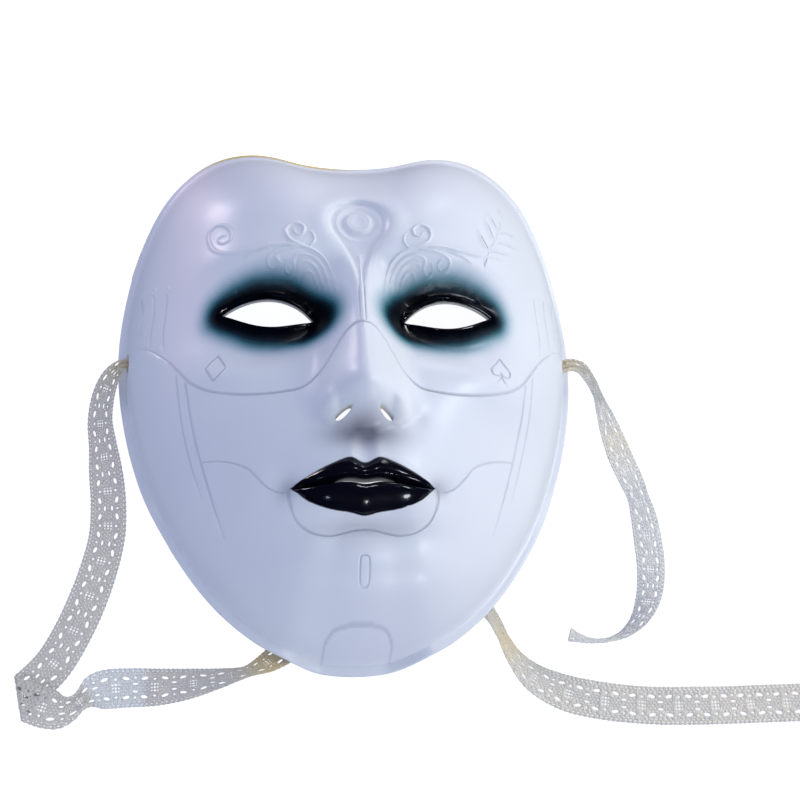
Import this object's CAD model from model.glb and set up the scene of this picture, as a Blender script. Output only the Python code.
"""The looks of a Venetian full-face mask with two lace ribbon ties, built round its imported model.

Everything is worked out in millimetres in the part's own frame and turned into metres at the end.
"""
import math

import bmesh
import bpy
import numpy as np
from mathutils import Matrix, Vector
from mathutils.geometry import delaunay_2d_cdt


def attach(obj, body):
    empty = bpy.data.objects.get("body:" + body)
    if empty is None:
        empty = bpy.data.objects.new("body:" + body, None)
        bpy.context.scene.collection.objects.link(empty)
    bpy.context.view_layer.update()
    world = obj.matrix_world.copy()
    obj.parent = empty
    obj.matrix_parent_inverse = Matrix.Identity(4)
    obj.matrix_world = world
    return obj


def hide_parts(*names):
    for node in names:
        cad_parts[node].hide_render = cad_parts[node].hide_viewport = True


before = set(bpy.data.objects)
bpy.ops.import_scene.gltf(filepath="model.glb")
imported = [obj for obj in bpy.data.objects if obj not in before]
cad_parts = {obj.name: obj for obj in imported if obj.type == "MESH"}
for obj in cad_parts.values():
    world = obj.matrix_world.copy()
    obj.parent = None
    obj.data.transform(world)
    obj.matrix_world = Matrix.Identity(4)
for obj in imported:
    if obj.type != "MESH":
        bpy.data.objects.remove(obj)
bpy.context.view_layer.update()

MM = 0.001
WIDTH_K, HEIGHT_K, DEPTH_K = 187.0 / 183.0, 213.0 / 227.5, 0.97
Y_CENTRE = 2.10
SHELL_T = 2.2
LIP_H = 2.2
TOP_RISE = 33.0
JAW_ARCH = 9.0
EYE = (33.0, 15.5)
MOUTH_Y, MOUTH_W = -57.5, 26.0
SLIT_W, SLIT_H = 11.0, 0.95
TIE_HOLE_Y, TIE_HOLE_Z = 18.0, 10.4
TIE_HOLE_A, TIE_HOLE_B = 4.1, 2.7
GILT_D = 1.3
RIBBON_W = 15.0
RIBBON_T = 0.9

# ---------------------------------------------------------------- camera
CAM_POS = (-49.89, -250.86, 584.42)
CAM_TILT = (7.0, 24.0, -2.5)        # degrees: to the left, to the chin, roll


def camera():
    tx, ty, roll = CAM_TILT
    back = Vector((-math.tan(math.radians(tx)), -math.tan(math.radians(ty)), 1.0)).normalized()
    x = Vector((0, 1, 0)).cross(back).normalized()
    y = back.cross(x)
    c, s = math.cos(math.radians(roll)), math.sin(math.radians(roll))
    x, y = c * x + s * y, -s * x + c * y
    cam = bpy.data.cameras.new("camera")
    cam.lens = 70.0
    cam.sensor_width = 36.0
    cam.clip_start, cam.clip_end = 0.01, 20.0
    ob = bpy.data.objects.new("camera", cam)
    m = Matrix((x, y, back)).transposed().to_4x4()
    m.translation = Vector(CAM_POS) * MM
    ob.matrix_world = m
    bpy.context.scene.collection.objects.link(ob)
    bpy.context.scene.camera = ob


camera()

# ---------------------------------------------------------------- edge outline
HALF_OUTLINE = [(0, 103.5), (18, 105.3), (37, 111.0), (55, 109.0), (71, 97.0), (82.5, 76.0), (89.5, 50.0),
                (91.5, 22.0), (88.0, -10.0), (79.5, -41.0), (66.5, -69.5), (48.5, -94.5), (26.5, -111.0),
                (0, -116.5)]


def spline_closed(pts, n=40):
    """Centripetal spline through a closed list of points."""
    p = np.array(pts, float)
    out = []
    m = len(p)
    for i in range(m):
        p0, p1, p2, p3 = p[(i - 1) % m], p[i], p[(i + 1) % m], p[(i + 2) % m]
        d01, d12, d23 = (max(np.linalg.norm(b - a) ** 0.5, 1e-6) for a, b in ((p0, p1), (p1, p2), (p2, p3)))
        m1 = ((p1 - p0) / d01 - (p2 - p0) / (d01 + d12) + (p2 - p1) / d12) * d12
        m2 = ((p2 - p1) / d12 - (p3 - p1) / (d12 + d23) + (p3 - p2) / d23) * d12
        t = np.linspace(0, 1, n, endpoint=False)[:, None]
        out.append((2 * t**3 - 3 * t**2 + 1) * p1 + (t**3 - 2 * t**2 + t) * m1
                   + (-2 * t**3 + 3 * t**2) * p2 + (t**3 - t**2) * m2)
    return np.concatenate(out)


def edge_table():
    """Edge radius against angle, smoothed and made exactly symmetric."""
    loop = spline_closed(HALF_OUTLINE + [(-x, y) for x, y in HALF_OUTLINE[-2:0:-1]])
    ang, rad = np.arctan2(loop[:, 1], loop[:, 0]), np.hypot(loop[:, 0], loop[:, 1])
    grid = -math.pi + 2 * math.pi * np.arange(1440) / 1440
    order = np.argsort(ang)
    r = np.interp(grid, ang[order], rad[order], period=2 * math.pi)
    k = np.exp(-0.5 * (np.arange(-24, 25) / 8.0) ** 2)
    k /= k.sum()
    r = np.convolve(np.concatenate([r[-24:], r, r[:24]]), k, "valid")
    return grid, 0.5 * (r + np.interp(np.pi - grid, grid, r, period=2 * math.pi))


EDGE_A, EDGE_R = edge_table()


def radius(phi):
    return np.interp(phi, EDGE_A, EDGE_R, period=2 * math.pi)


# ---------------------------------------------------------------- face pattern
def sstep(a, b, x):
    t = np.clip((x - a) / (b - a), 0, 1)
    return t * t * (3 - 2 * t)


def smax(a, b, k):
    h = np.clip(0.5 + 0.5 * (a - b) / k, 0, 1)
    return b + (a - b) * h + k * h * (1 - h)


def gau(x, y, cx, cy, sx, sy, rot=0.0):
    c, s = math.cos(rot), math.sin(rot)
    dx, dy = x - cx, y - cy
    return np.exp(-0.5 * (((c * dx + s * dy) / sx) ** 2 + ((-s * dx + c * dy) / sy) ** 2))


def rim_z(phi):
    """Height of the lip's underside: 0 at the chin and temples."""
    a = np.degrees(np.arctan2(np.abs(np.cos(phi)), -np.sin(phi)))
    return TOP_RISE * sstep(112, 168, a) + JAW_ARCH * sstep(5.5, 15, a) * (1 - sstep(48, 68, a))


def profile(keys, s=3.0):
    ys = np.arange(-140, 141, 0.5)
    z = np.interp(ys, *zip(*keys))
    n = int(6 * s)
    k = np.exp(-0.5 * (np.arange(-n, n + 1) * 0.5 / s) ** 2)
    k /= k.sum()
    zz = np.convolve(np.concatenate([np.full(n, z[0]), z, np.full(n, z[-1])]), k, "valid")
    return lambda y: np.interp(y, ys, zz)


front = profile([(-140, 60), (-116, 62), (-95, 66), (-75, 66), (-57, 67), (-35, 68), (-10, 69), (15, 70),
                 (40, 77), (65, 80), (90, 79), (140, 74)], 8)
nose_h = profile([(-140, -30), (-60, -12), (-37, 4), (-33, 14), (-28, 21.5), (-24, 23.0), (-15, 20.0), (0, 14.2),
                  (12, 9.6), (20, 7.2), (27, 5.2), (36, 0.5), (50, -9), (140, -30)], 2.3)
nose_w = profile([(-140, 7), (-30, 7), (-20, 6.0), (-10, 4.6), (6, 4.0), (16, 4.6), (26, 8), (38, 16),
                  (140, 20)], 4)


def wall_terms(x, y):
    """Edge distance, lip height, wall height and the two exponents of the dome's section."""
    phi = np.arctan2(y, x)
    zr = rim_z(phi)
    a = np.degrees(np.arctan2(np.abs(x), -y + 1e-9))
    t_top, t_chin = sstep(88, 142, a), 1 - sstep(10, 70, a)
    p = 2.25 + 0.95 * t_top + 0.75 * t_chin
    q = 1.85 - 0.77 * t_top - 0.10 * t_chin
    return phi, zr, front(y) - zr, p, q, 0.966 + 0.022 * t_top


def base(x, y):
    phi, zr, h, p, q, lam = wall_terms(x, y)
    rho = np.hypot(x, y) / radius(phi)
    u = np.clip(rho / lam, 0, 1)
    d = h * np.maximum(1 - u**p, 0) ** (1 / q)
    return zr + (d**3 + LIP_H**3) ** (1 / 3), rho


def eye_loop(n=96):
    """Almond outline of the right eye opening."""
    cx, cy = EYE
    xi, xo, yi, yo = cx - 16.0, cx + 17.0, cy - 2.4, cy + 2.2
    t = np.linspace(0, 1, n // 2 + 1)
    x = xi + (xo - xi) * (0.5 - 0.5 * np.cos(np.pi * t))
    w = (x - xi) / (xo - xi)
    lin = yi + (yo - yi) * w
    up = 7.2 * np.abs(np.sin(np.pi * w**0.88)) ** 0.82
    lo = 5.4 * np.abs(np.sin(np.pi * w**1.12)) ** 0.95
    return np.concatenate([np.stack([x, lin - lo], 1)[:-1], np.stack([x, lin + up], 1)[::-1][:-1]])


def dist_poly(x, y, loop):
    """Signed distance to a closed polygon, negative inside."""
    px, py = np.ravel(x), np.ravel(y)
    best, inside = np.full(len(px), 1e9), np.zeros(len(px), bool)
    for (ax, ay), (bx, by) in zip(loop, np.roll(loop, -1, 0)):
        dx, dy = bx - ax, by - ay
        t = np.clip(((px - ax) * dx + (py - ay) * dy) / max(dx * dx + dy * dy, 1e-12), 0, 1)
        best = np.minimum(best, (px - ax - t * dx) ** 2 + (py - ay - t * dy) ** 2)
        inside ^= ((ay > py) != (by > py)) & (px < (bx - ax) * (py - ay) / (by - ay + 1e-30) + ax)
    return np.where(inside, -1.0, 1.0).reshape(np.shape(x)) * np.sqrt(best).reshape(np.shape(x))


def lip_mid(x):
    w = np.clip(np.abs(x) / MOUTH_W, 0, 1.3)
    return (MOUTH_Y + 0.9 * np.cos(w * np.pi * 1.15) * (1 - w * 0.3) - 0.2
            - 1.4 * np.exp(-0.5 * (x / 3.0) ** 2) + 1.2 * sstep(0.75, 1.1, w))


def lip_up(x):
    w = np.clip(np.abs(x) / MOUTH_W, 0, 1)
    h = (8.8 * (1 - w**1.7) ** 0.9 - 1.6 * np.exp(-0.5 * (x / 2.7) ** 2)
         + 0.5 * np.exp(-0.5 * ((np.abs(x) - 5) / 2.5) ** 2))
    return lip_mid(x) + np.maximum(h, 0.0)


def lip_low(x):
    w = np.clip(np.abs(x) / (MOUTH_W * 0.97), 0, 1)
    return lip_mid(x) - 11.0 * (1 - w**2.1) ** 0.8


def face(x, y, detail=1.0):
    """Height of the outer surface of the face pattern, in mm."""
    x, y = np.broadcast_arrays(np.asarray(x, float), np.asarray(y, float))
    ax = np.abs(x)
    z, rho = base(x, y)
    # forehead, brow, cheeks, jaw and chin
    f = 1.6 * gau(ax, y, 26, 66, 22, 16) + 3.4 * gau(ax, y, 35, 37, 17, 6.5) + 2.6 * gau(ax, y, 54, 31, 10, 10)
    f -= 0.6 * gau(x, y, 0, 34, 9, 8)
    f -= (11.5 * gau(ax, y, 32, 15, 17, 10.5) + 4.5 * gau(ax, y, 15.5, 17, 5.5, 9.5)
          + 2.2 * gau(ax, y, 40, -2, 15, 5, -0.15) + 2.6 * gau(ax, y, 72, 44, 9, 20))
    f += 5.0 * gau(ax, y, 51, -9, 17, 11, 0.35) - 3.0 * gau(ax, y, 54, -46, 15, 18, 0.35)
    f += 6.6 * gau(ax, y, 0, -54, 22, 17) - 3.8 * gau(ax, y, 0, -75.5, 17, 4.8)
    f += 9.6 * gau(ax, y, 0, -91.5, 14.5, 11.5) + 3.0 * gau(ax, y, 26, -87, 12, 10, 0.5)
    f -= 1.2 * gau(ax, y, 30, -55, 4, 8, 0.2)
    z = z + f * (1 - sstep(0.80, 0.97, rho))
    # eyeball mound round the opening
    e = 1 - ((ax - EYE[0]) / 21.5) ** 2 - ((y - EYE[1] - 0.5) / 15.5) ** 2
    r2 = ((ax - EYE[0]) / 19.5) ** 2 + ((y - EYE[1] - 0.5) / 13.0) ** 2
    z = np.where(e > -1.5, smax(z, 65.5 - 7.5 * r2 - 0.10 * (ax - EYE[0]), 4.0), z)
    # nose: ridge, tip and wings
    h, w = nose_h(y), nose_w(y)
    mid, _ = base(np.zeros_like(x), y)
    z = smax(z, mid + h - 1.42 * (np.sqrt(x * x + w * w) - w), 4.5)
    zt = 69.0
    tip = zt + 21.5 - x * x / 9.0 - np.where(y > -24.5, ((y + 24.5) / 12.0) ** 2 * 7.0,
                                             ((y + 24.5) / 8.6) ** 2 * 11.0)
    z = smax(z, tip, 3.6)
    ala = zt + 12.2 - ((ax - 11.4) / 5.2) ** 2 * 9.0 - np.where(y > -27.5, ((y + 27.5) / 8.0) ** 2 * 8.0,
                                                               ((y + 27.5) / 6.6) ** 2 * 10.0)
    z = smax(z, ala, 2.6)
    z = z - 1.2 * gau(ax, y, 17.6, -25.0, 2.2, 6.5, 0.25)
    z = z - 1.3 * gau(x, y, 0, -43.5, 2.3, 4.6) + 0.5 * gau(ax, y, 4.6, -44.5, 1.5, 4.5)
    # lips
    m, up, lo = lip_mid(x), lip_up(x), lip_low(x)
    w_up, w_lo = np.maximum(up - m, 1e-3), np.maximum(m - lo, 1e-3)
    t_up, t_lo = (y - m) / w_up, (m - y) / w_lo
    hu = np.where((t_up > 0) & (t_up < 1), np.abs(np.sin(np.pi * np.clip(t_up, 0, 1) ** 0.72)) ** 0.75, 0.0)
    hl = np.where((t_lo > 0) & (t_lo < 1), np.abs(np.sin(np.pi * np.clip(t_lo, 0, 1) ** 0.66)) ** 0.70, 0.0)
    z = z + 3.0 * hu * np.clip(w_up / 8.0, 0, 1) ** 0.6 + 4.6 * hl * np.clip(w_lo / 10.0, 0, 1) ** 0.6
    z = z - 2.4 * np.exp(-0.5 * ((y - m) / 0.9) ** 2) * (1 - sstep(0.90, 1.08, ax / MOUTH_W))
    z = z - 1.5 * gau(ax, y, 27.2, MOUTH_Y + 0.4, 2.6, 2.6)
    z = z + 0.45 * np.exp(-0.5 * ((y - up - 0.6) / 0.8) ** 2) * (1 - sstep(0.7, 0.95, ax / MOUTH_W))
    if detail:
        # rolled lid margin and upper lid crease
        d = dist_poly(ax, y, eye_loop())
        z = z + detail * 0.55 * np.exp(-0.5 * ((d - 0.9) / 1.0) ** 2)
        crease = EYE[1] + 11.6 - 0.020 * (ax - EYE[0] - 1) ** 2 * (1 + 0.25 * (ax < EYE[0]))
        z = z - detail * 1.5 * np.exp(-0.5 * ((y - crease) / 0.9) ** 2) * (
            1 - sstep(13, 19, np.abs(ax - EYE[0] - 0.5)))
    return z


# ---------------------------------------------------------------- ribbon routes
LONG_TIE_DOWN = [
    (-86.6, 18.0, 10.4, 5.0, 2.6, 0), (-89.0, 18.0, 10.4, 5.0, 2.6, 0), (-92.4, 16.6, 10.1, 6.2, 2.2, 0),
    (-96.0, 12.6, 8.0, 8.0, 1.6, 0), (-98.8, 5.6, 4.6, 9.6, 1.2, 10), (-99.8, -4.0, 2.2, 10.4, 1.1, 12),
    (-98.4, -14.0, 1.7, 11.4, 1.0, 8), (-96.9, -25.0, 1.5, 13.4, 0.9, 5), (-95.4, -38.0, 1.3, 14.0, 0.9, 4),
    (-95.4, -52.0, 1.3, 14.2, 0.9, -3), (-98.2, -66.0, 1.1, 14.6, 0.9, -2), (-102.6, -80.0, 0.9, 15.0, 0.9, 0),
    (-107.9, -92.6, 0.8, 15.0, 0.9, 0), (-113.4, -102.4, 0.8, 15.0, 0.9, 0), (-118.0, -107.8, 0.8, 15.0, 0.9, 0),
    (-119.92, -109.64, 0.8, 15.0, 0.9, 0)]
FOLD_RADIUS = 1.2       # mm, half the gap between the ribbon's middles at the fold
FOLD_POINT = (-124.6, -114.0)   # mm, where the ribbon's middle meets the fold line
FOLD_LINE = 281.0       # degrees, direction of the fold line
FOLD_IN = 223.0         # degrees, direction of the ribbon before the fold
LONG_TIE_ACROSS = [
    (-118.4, -118.5, 3.2, 15.0, 0.9, 0), (-114.4, -119.9, 3.3, 15.0, 0.9, 0), (-110.2, -120.6, 3.3, 13.6, 1.0, 2),
    (-106.4, -119.7, 3.1, 9.6, 1.4, 6), (-103.4, -117.5, 2.7, 7.0, 1.8, 8), (-101.0, -115.6, 2.3, 8.8, 1.6, 7),
    (-98.2, -113.8, 1.9, 13.2, 1.0, 5), (-94.0, -112.6, 1.7, 15.0, 0.9, 3), (-85.0, -112.0, 1.3, 15.0, 0.9, 1),
    (-74.0, -112.0, 1.9, 14.8, 0.9, -8), (-62.0, -111.2, 3.2, 14.0, 0.9, -22), (-50.5, -109.6, 4.7, 12.6, 0.9, -42),
    (-41.0, -107.4, 5.2, 11.2, 0.9, -55), (-34.0, -104.2, 4.1, 11.6, 0.9, -36), (-27.0, -99.0, 2.8, 12.2, 0.9, -18),
    (-17.0, -91.0, 1.8, 13.6, 0.9, -5), (-2.0, -82.0, 1.5, 14.6, 0.9, 0),
    (16.0, -75.0, 1.4, 14.6, 0.9, 0), (34.0, -73.5, 1.7, 13.2, 1.0, -6), (47.0, -78.4, 2.9, 10.4, 1.2, -24),
    (53.6, -86.4, 3.8, 8.6, 1.4, -42), (57.4, -94.6, 4.3, 8.8, 1.4, -50), (61.4, -102.6, 4.0, 10.6, 1.2, -38),
    (68.4, -110.4, 3.0, 13.0, 1.0, -18), (79.6, -116.0, 1.7, 14.6, 0.9, -6), (94.0, -119.4, 1.2, 15.0, 0.9, 0),
    (112.0, -121.6, 1.1, 15.0, 0.9, 0), (134.0, -122.2, 1.5, 15.0, 0.9, 3), (156.0, -121.8, 1.1, 15.0, 0.9, 0),
    (178.0, -121.2, 1.1, 15.0, 0.9, 0), (202.0, -119.2, 1.5, 15.0, 0.9, -3), (224.0, -114.6, 1.0, 15.0, 0.9, 0)]
SHORT_TIE = [
    (86.6, 18.0, 10.4, 5.0, 2.6, 0), (89.0, 18.0, 10.4, 5.0, 2.6, 0), (92.8, 19.0, 10.4, 5.2, 2.5, 0),
    (97.2, 18.4, 8.8, 5.2, 2.2, 0), (101.4, 14.2, 6.2, 4.8, 2.0, -10), (104.6, 7.8, 4.0, 4.6, 1.9, -18),
    (107.0, 0.0, 3.0, 8.0, 1.3, -16), (109.4, -9.0, 2.4, 10.4, 1.1, -12), (112.2, -19.0, 1.9, 11.6, 1.0, -8),
    (115.6, -28.5, 1.6, 11.0, 1.0, -4), (117.8, -36.0, 1.5, 9.4, 1.2, 0), (119.2, -43.5, 1.4, 10.8, 1.0, 0),
    (120.0, -55.0, 1.5, 11.8, 0.9, 2), (119.8, -68.0, 1.7, 11.4, 0.9, 8), (117.2, -79.6, 2.8, 10.4, 0.9, 24),
    (112.2, -88.8, 4.1, 9.6, 1.0, 46), (105.0, -94.8, 4.7, 9.0, 1.0, 63), (97.0, -97.0, 4.9, 9.2, 1.0, 68),
    (89.6, -96.4, 4.7, 9.8, 1.0, 56), (83.6, -94.2, 4.2, 10.8, 0.9, 40)]



def unit(v):
    return v / np.maximum(np.linalg.norm(v, axis=-1, keepdims=True), 1e-12)


def spline_rows(rows, step):
    """Centripetal spline through open stations, read every step mm of its own length."""
    p = np.array(rows, float)
    p = np.concatenate([2 * p[:1] - p[1:2], p, 2 * p[-1:] - p[-2:-1]])
    out = []
    for i in range(1, len(p) - 2):
        d = [max(np.linalg.norm(p[i + k + 1, :3] - p[i + k, :3]) ** 0.5, 1e-3) for k in (-1, 0, 1)]
        p0, p1, p2, p3 = p[i - 1], p[i], p[i + 1], p[i + 2]
        m1 = ((p1 - p0) / d[0] - (p2 - p0) / (d[0] + d[1]) + (p2 - p1) / d[1]) * d[1]
        m2 = ((p2 - p1) / d[1] - (p3 - p1) / (d[1] + d[2]) + (p3 - p2) / d[2]) * d[1]
        t = np.linspace(0, 1, 48, endpoint=False)[:, None]
        out.append((2 * t**3 - 3 * t**2 + 1) * p1 + (t**3 - 2 * t**2 + t) * m1
                   + (-2 * t**3 + 3 * t**2) * p2 + (t**3 - t**2) * m2)
    out = np.concatenate(out + [p[-2:-1]])
    s = np.concatenate([[0], np.cumsum(np.linalg.norm(np.diff(out[:, :3], axis=0), axis=1))])
    n = max(int(round(s[-1] / step)), 2)
    at = np.linspace(0, s[-1], n + 1)
    return np.column_stack([np.interp(at, s, out[:, k]) for k in range(out.shape[1])]), at


def smooth_rows(a, n):
    """Moving average along the rows that keeps both ends."""
    if n < 1:
        return a
    k = np.ones(2 * n + 1) / (2 * n + 1)
    pad = np.concatenate([2 * a[:1] - a[n:0:-1], a, 2 * a[-1:] - a[-2:-n - 2:-1]])
    return np.stack([np.convolve(pad[:, c], k, "valid") for c in range(a.shape[1])], 1)


def spline2(pts, step=0.5):
    """Smooth plane curve through points, read every step mm."""
    rows, _ = spline_rows([(x, y, 0.0) for x, y in pts], step)
    return rows[:, :2]


# ---------------------------------------------------------------- relief: strokes, medallion, engraved lines
STROKES = []      # each: points, half width at each point, height, engraved?


def stroke(pts, w, h, groove=False, taper=(0.35, 0.35), leaf=False):
    pts = np.asarray(pts, float)
    s = np.concatenate([[0], np.cumsum(np.linalg.norm(np.diff(pts, axis=0), axis=1))])
    t = s / s[-1]
    if leaf:
        k = 0.25 + 0.75 * np.sin(np.pi * t**0.8) ** 0.9
    else:
        k = np.ones_like(t)
        if taper[0] < 1:
            k *= taper[0] + (1 - taper[0]) * sstep(0, 0.16, t)
        if taper[1] < 1:
            k *= taper[1] + (1 - taper[1]) * (1 - sstep(0.72, 1.0, t))
    STROKES.append((pts, w * k, h, groove))


def spiral(cx, cy, r0, r1, a0, turns, n=60):
    """Spiral from radius r0 at angle a0 (degrees) winding in to r1."""
    t = np.linspace(0, 1, n)
    r = r0 + (r1 - r0) * t
    a = math.radians(a0) + 2 * np.pi * turns * t
    return np.stack([cx + r * np.cos(a), cy + r * np.sin(a)], 1)


def both(make):
    for sx in (-1, 1):
        make(sx)


def mir(pts, sx):
    p = np.array(pts, float)
    p[:, 0] *= sx
    return p


def scrolls(sx):
    """Scrollwork over the brow: a long stem with curls, and a fan of leaves by the nose bridge."""
    def put(pts, w, h, **kw):
        p = np.array(spline2(pts, 0.45))
        p[:, 1] += 4.2 * sstep(18, 30, p[:, 1])
        stroke(mir(p, sx), w, h, **kw)

    tail = [(51.1, 36.2), (45.2, 34.9), (38.8, 35.2), (32.5, 35.9), (25.8, 35.8), (19.0, 34.4), (13.8, 31.4),
            (10.4, 26.2), (8.8, 20.4)]
    if sx < 0:
        put([(52.2, 45.4), (53.3, 43.6), (51.2, 41.0), (48.6, 42.2), (48.3, 46.0), (50.6, 49.8), (54.0, 51.2),
             (56.6, 49.2), (56.6, 45.2), (54.9, 39.9)] + tail, 0.84, 0.80, taper=(0.5, 0.3))
    else:
        put([(56.0, 37.6), (53.6, 36.8)] + tail, 0.84, 0.80, taper=(0.4, 0.3))
    put([(18.3, 34.4), (22.2, 35.8), (25.8, 37.8), (27.5, 41.0), (26.6, 44.4), (23.4, 45.6), (20.8, 43.6),
         (21.2, 40.8), (23.6, 40.4), (24.4, 42.0)], 0.74, 0.72, taper=(0.3, 0.5))
    put([(21.0, 34.9), (27.2, 34.3), (31.9, 33.0), (34.6, 30.8), (33.8, 28.6), (31.2, 28.0), (29.8, 29.4),
         (31.0, 30.8)], 0.70, 0.66, taper=(0.3, 0.5))
    put([(43.4, 31.6), (39.6, 33.2), (34.0, 34.6)], 0.62, 0.55, taper=(0.2, 0.6))
    put([(18.6, 35.4), (17.0, 37.6), (17.4, 40.4), (18.8, 42.0)], 0.55, 0.5, taper=(0.7, 0.2))
    # fan of leaves, each from its own small curl
    put([(27.6, 29.6), (27.8, 27.6), (25.8, 26.8), (24.4, 28.2), (24.9, 30.6), (22.6, 32.2), (18.6, 31.8),
         (14.6, 29.2), (11.9, 24.9), (10.9, 20.6)], 0.74, 0.66, taper=(0.5, 0.2))
    put([(23.6, 27.2), (22.6, 29.4), (19.4, 29.9), (16.2, 28.2), (13.9, 24.7), (13.2, 21.8)], 0.66, 0.60,
        taper=(0.5, 0.2))
    put([(21.4, 25.8), (20.0, 27.6), (17.8, 27.2), (16.0, 25.0), (15.4, 23.0)], 0.58, 0.54, taper=(0.6, 0.2))


both(scrolls)


def sprig():
    """Leaf sprig at the right temple."""
    stem = spline2([(49.0, 36.2), (50.6, 41.0), (52.8, 46.4), (55.6, 52.0), (57.8, 58.4), (58.8, 64.6)])
    stroke(stem, 0.62, 0.62, taper=(0.5, 0.6))
    for k, (t, ln) in enumerate(((0.26, 9.0), (0.50, 10.0), (0.72, 8.4))):
        i = int(t * (len(stem) - 1))
        p = stem[i]
        d = unit(stem[min(i + 3, len(stem) - 1)] - stem[i - 3])
        for side in (-1, 1):
            a = math.radians(side * 56)
            u = np.array([math.cos(a) * d[0] - math.sin(a) * d[1], math.sin(a) * d[0] + math.cos(a) * d[1]])
            tt = np.linspace(0, 1, 22)[:, None]
            pts = p + u * ln * tt + d * ln * 0.30 * tt**2
            stroke(pts, 2.0 - 0.16 * k, 0.95, leaf=True)
            stroke(p + u * ln * tt * 0.8 + d * ln * 0.30 * (tt * 0.8) ** 2, 0.26, 0.42, groove=True)
    tt = np.linspace(0, 1, 16)[:, None]
    d = unit(stem[-1] - stem[-4])
    stroke(stem[-1] + d * (7.0 * tt - 0.4), 1.5, 0.9, leaf=True)


sprig()


def threads(sx):
    """Three fine hanging threads at each temple, each under a small bead."""
    for k, (x, top, low) in enumerate(((73.4, 35.6, 10.6), (78.6, 39.2, 16.8), (83.4, 42.4, 23.0))):
        y = np.linspace(top, low, 60)
        wave = 0.60 * np.sin((y - low) / 4.6 + k * 1.3)
        stroke(np.stack([sx * (x + wave), y], 1), 0.52, 0.42, groove=True, taper=(1, 0.4))
        ring = [(sx * (x + wave[0] + 0.85 * math.cos(a)), top + 2.4 + 1.0 * math.sin(a))
                for a in np.linspace(0, 2 * np.pi, 18)]
        stroke(ring, 0.50, 0.50, taper=(1, 1))


both(threads)


def panels(sx):
    """Engraved lines: under the eye, down the cheek, to the corner of the mouth, and the chin."""
    def cut(pts, w=0.60, h=0.66, taper=(1, 0.3)):
        stroke(mir(spline2(pts), sx), w, h, groove=True, taper=taper)

    cut([(0.0, 5.2), (3.0, 4.9), (6.4, 2.6), (10.6, -3.6), (15.2, -10.4), (20.6, -14.7), (29.0, -16.2),
         (39.0, -15.9), (49.0, -14.0), (57.5, -10.6), (63.0, -6.2), (67.8, 0.4), (72.4, 7.2), (77.6, 13.6),
         (83.0, 19.0), (87.0, 22.4)])
    cut([(65.0, -5.6), (62.6, -20.0), (58.8, -35.5), (54.4, -50.5), (50.2, -63.0)], 0.56, 0.52,
        (1, 0.45))
    cut([(68.6, -1.4), (66.4, -18.5), (62.6, -34.5), (58.6, -47.6)], 0.52, 0.44, (1, 0.45))
    cut([(58.9, -35.0), (53.0, -36.5), (46.5, -38.9), (41.4, -42.2), (37.8, -46.6), (33.8, -50.6), (30.0, -52.4),
         (27.4, -52.8)], 0.50, 0.52, (1, 0.4))
    cut([(26.9, -52.8), (26.6, -58.2), (24.0, -63.6), (18.9, -67.4), (12.8, -68.5), (7.2, -67.6), (3.2, -66.8),
         (0.0, -66.6)], 0.56, 0.60, (1, 1))
    cut([(27.0, -52.4), (27.0, -56.0), (25.8, -60.6)], 0.95, 0.55, (0.9, 0.2))
    cut([(12.8, -102.4), (12.6, -98.6), (10.0, -95.7), (5.0, -94.7), (0.0, -94.6)], 0.80, 0.60, (0.7, 1))


both(panels)
# slot in the chin
_t = np.linspace(0, 2 * np.pi, 80)
stroke(np.stack([1.75 * np.sign(np.cos(_t)) * np.abs(np.cos(_t)) ** 0.45,
                 -81.0 + 4.9 * np.sign(np.sin(_t)) * np.abs(np.sin(_t)) ** 0.6], 1), 0.50, 0.52, groove=True,
       taper=(1, 1))
# diamond on the left cheek
_c, _s = math.cos(0.16), math.sin(0.16)
for _k in range(4):
    _q = [(0, 5.6), (3.9, 0), (0, -5.6), (-3.9, 0)]
    _a, _b = [np.array([-53.6 + _c * x + _s * y, -3.0 - _s * x + _c * y]) for x, y in (_q[_k], _q[(_k + 1) % 4])]
    stroke(np.stack([_a + (_b - _a) * t for t in np.linspace(0.03, 0.97, 16)]), 0.55, 0.58, groove=True,
           taper=(0.8, 0.8))
# spade on the right cheek
_sp = spline2([(54.0, 3.8), (56.2, 0.6), (58.8, -2.8), (58.0, -6.0), (55.2, -6.0), (54.0, -4.2)], 0.4)
_sp = np.array(_sp) * 0.8 + (54.0 * 0.2, -3.0 * 0.2)
stroke(_sp, 0.52, 0.56, groove=True, taper=(0.8, 0.6))
stroke(np.stack([108.0 - _sp[:, 0], _sp[:, 1]], 1), 0.52, 0.56, groove=True, taper=(0.8, 0.6))
for _m in (-1, 1):
    stroke(spline2([(54.0 + 0.12 * _m, -4.6), (54.0 + 0.4 * _m, -6.4), (54.0 + 1.7 * _m, -8.2)], 0.4), 0.44, 0.50,
           groove=True, taper=(1, 0.5))

MED = np.array([0.0, 51.5])      # centre of the medallion
MED_R = 10.8


def medallion_loop():
    """Teardrop: a disc that runs down into a narrow stem."""
    a = np.radians(np.linspace(-40, 220, 84))
    disc = MED + MED_R * np.stack([np.cos(a), np.sin(a)], 1)
    left = spline2([tuple(disc[-1]), (-5.7, 40.6), (-3.5, 36.4), (-2.0, 31.0), (-1.3, 25.0), (-1.0, 19.0)], 0.6)[1:]
    right = np.stack([-left[::-1, 0], left[::-1, 1]], 1)
    return np.concatenate([disc, left, right])


MED_LOOP = medallion_loop()
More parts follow.
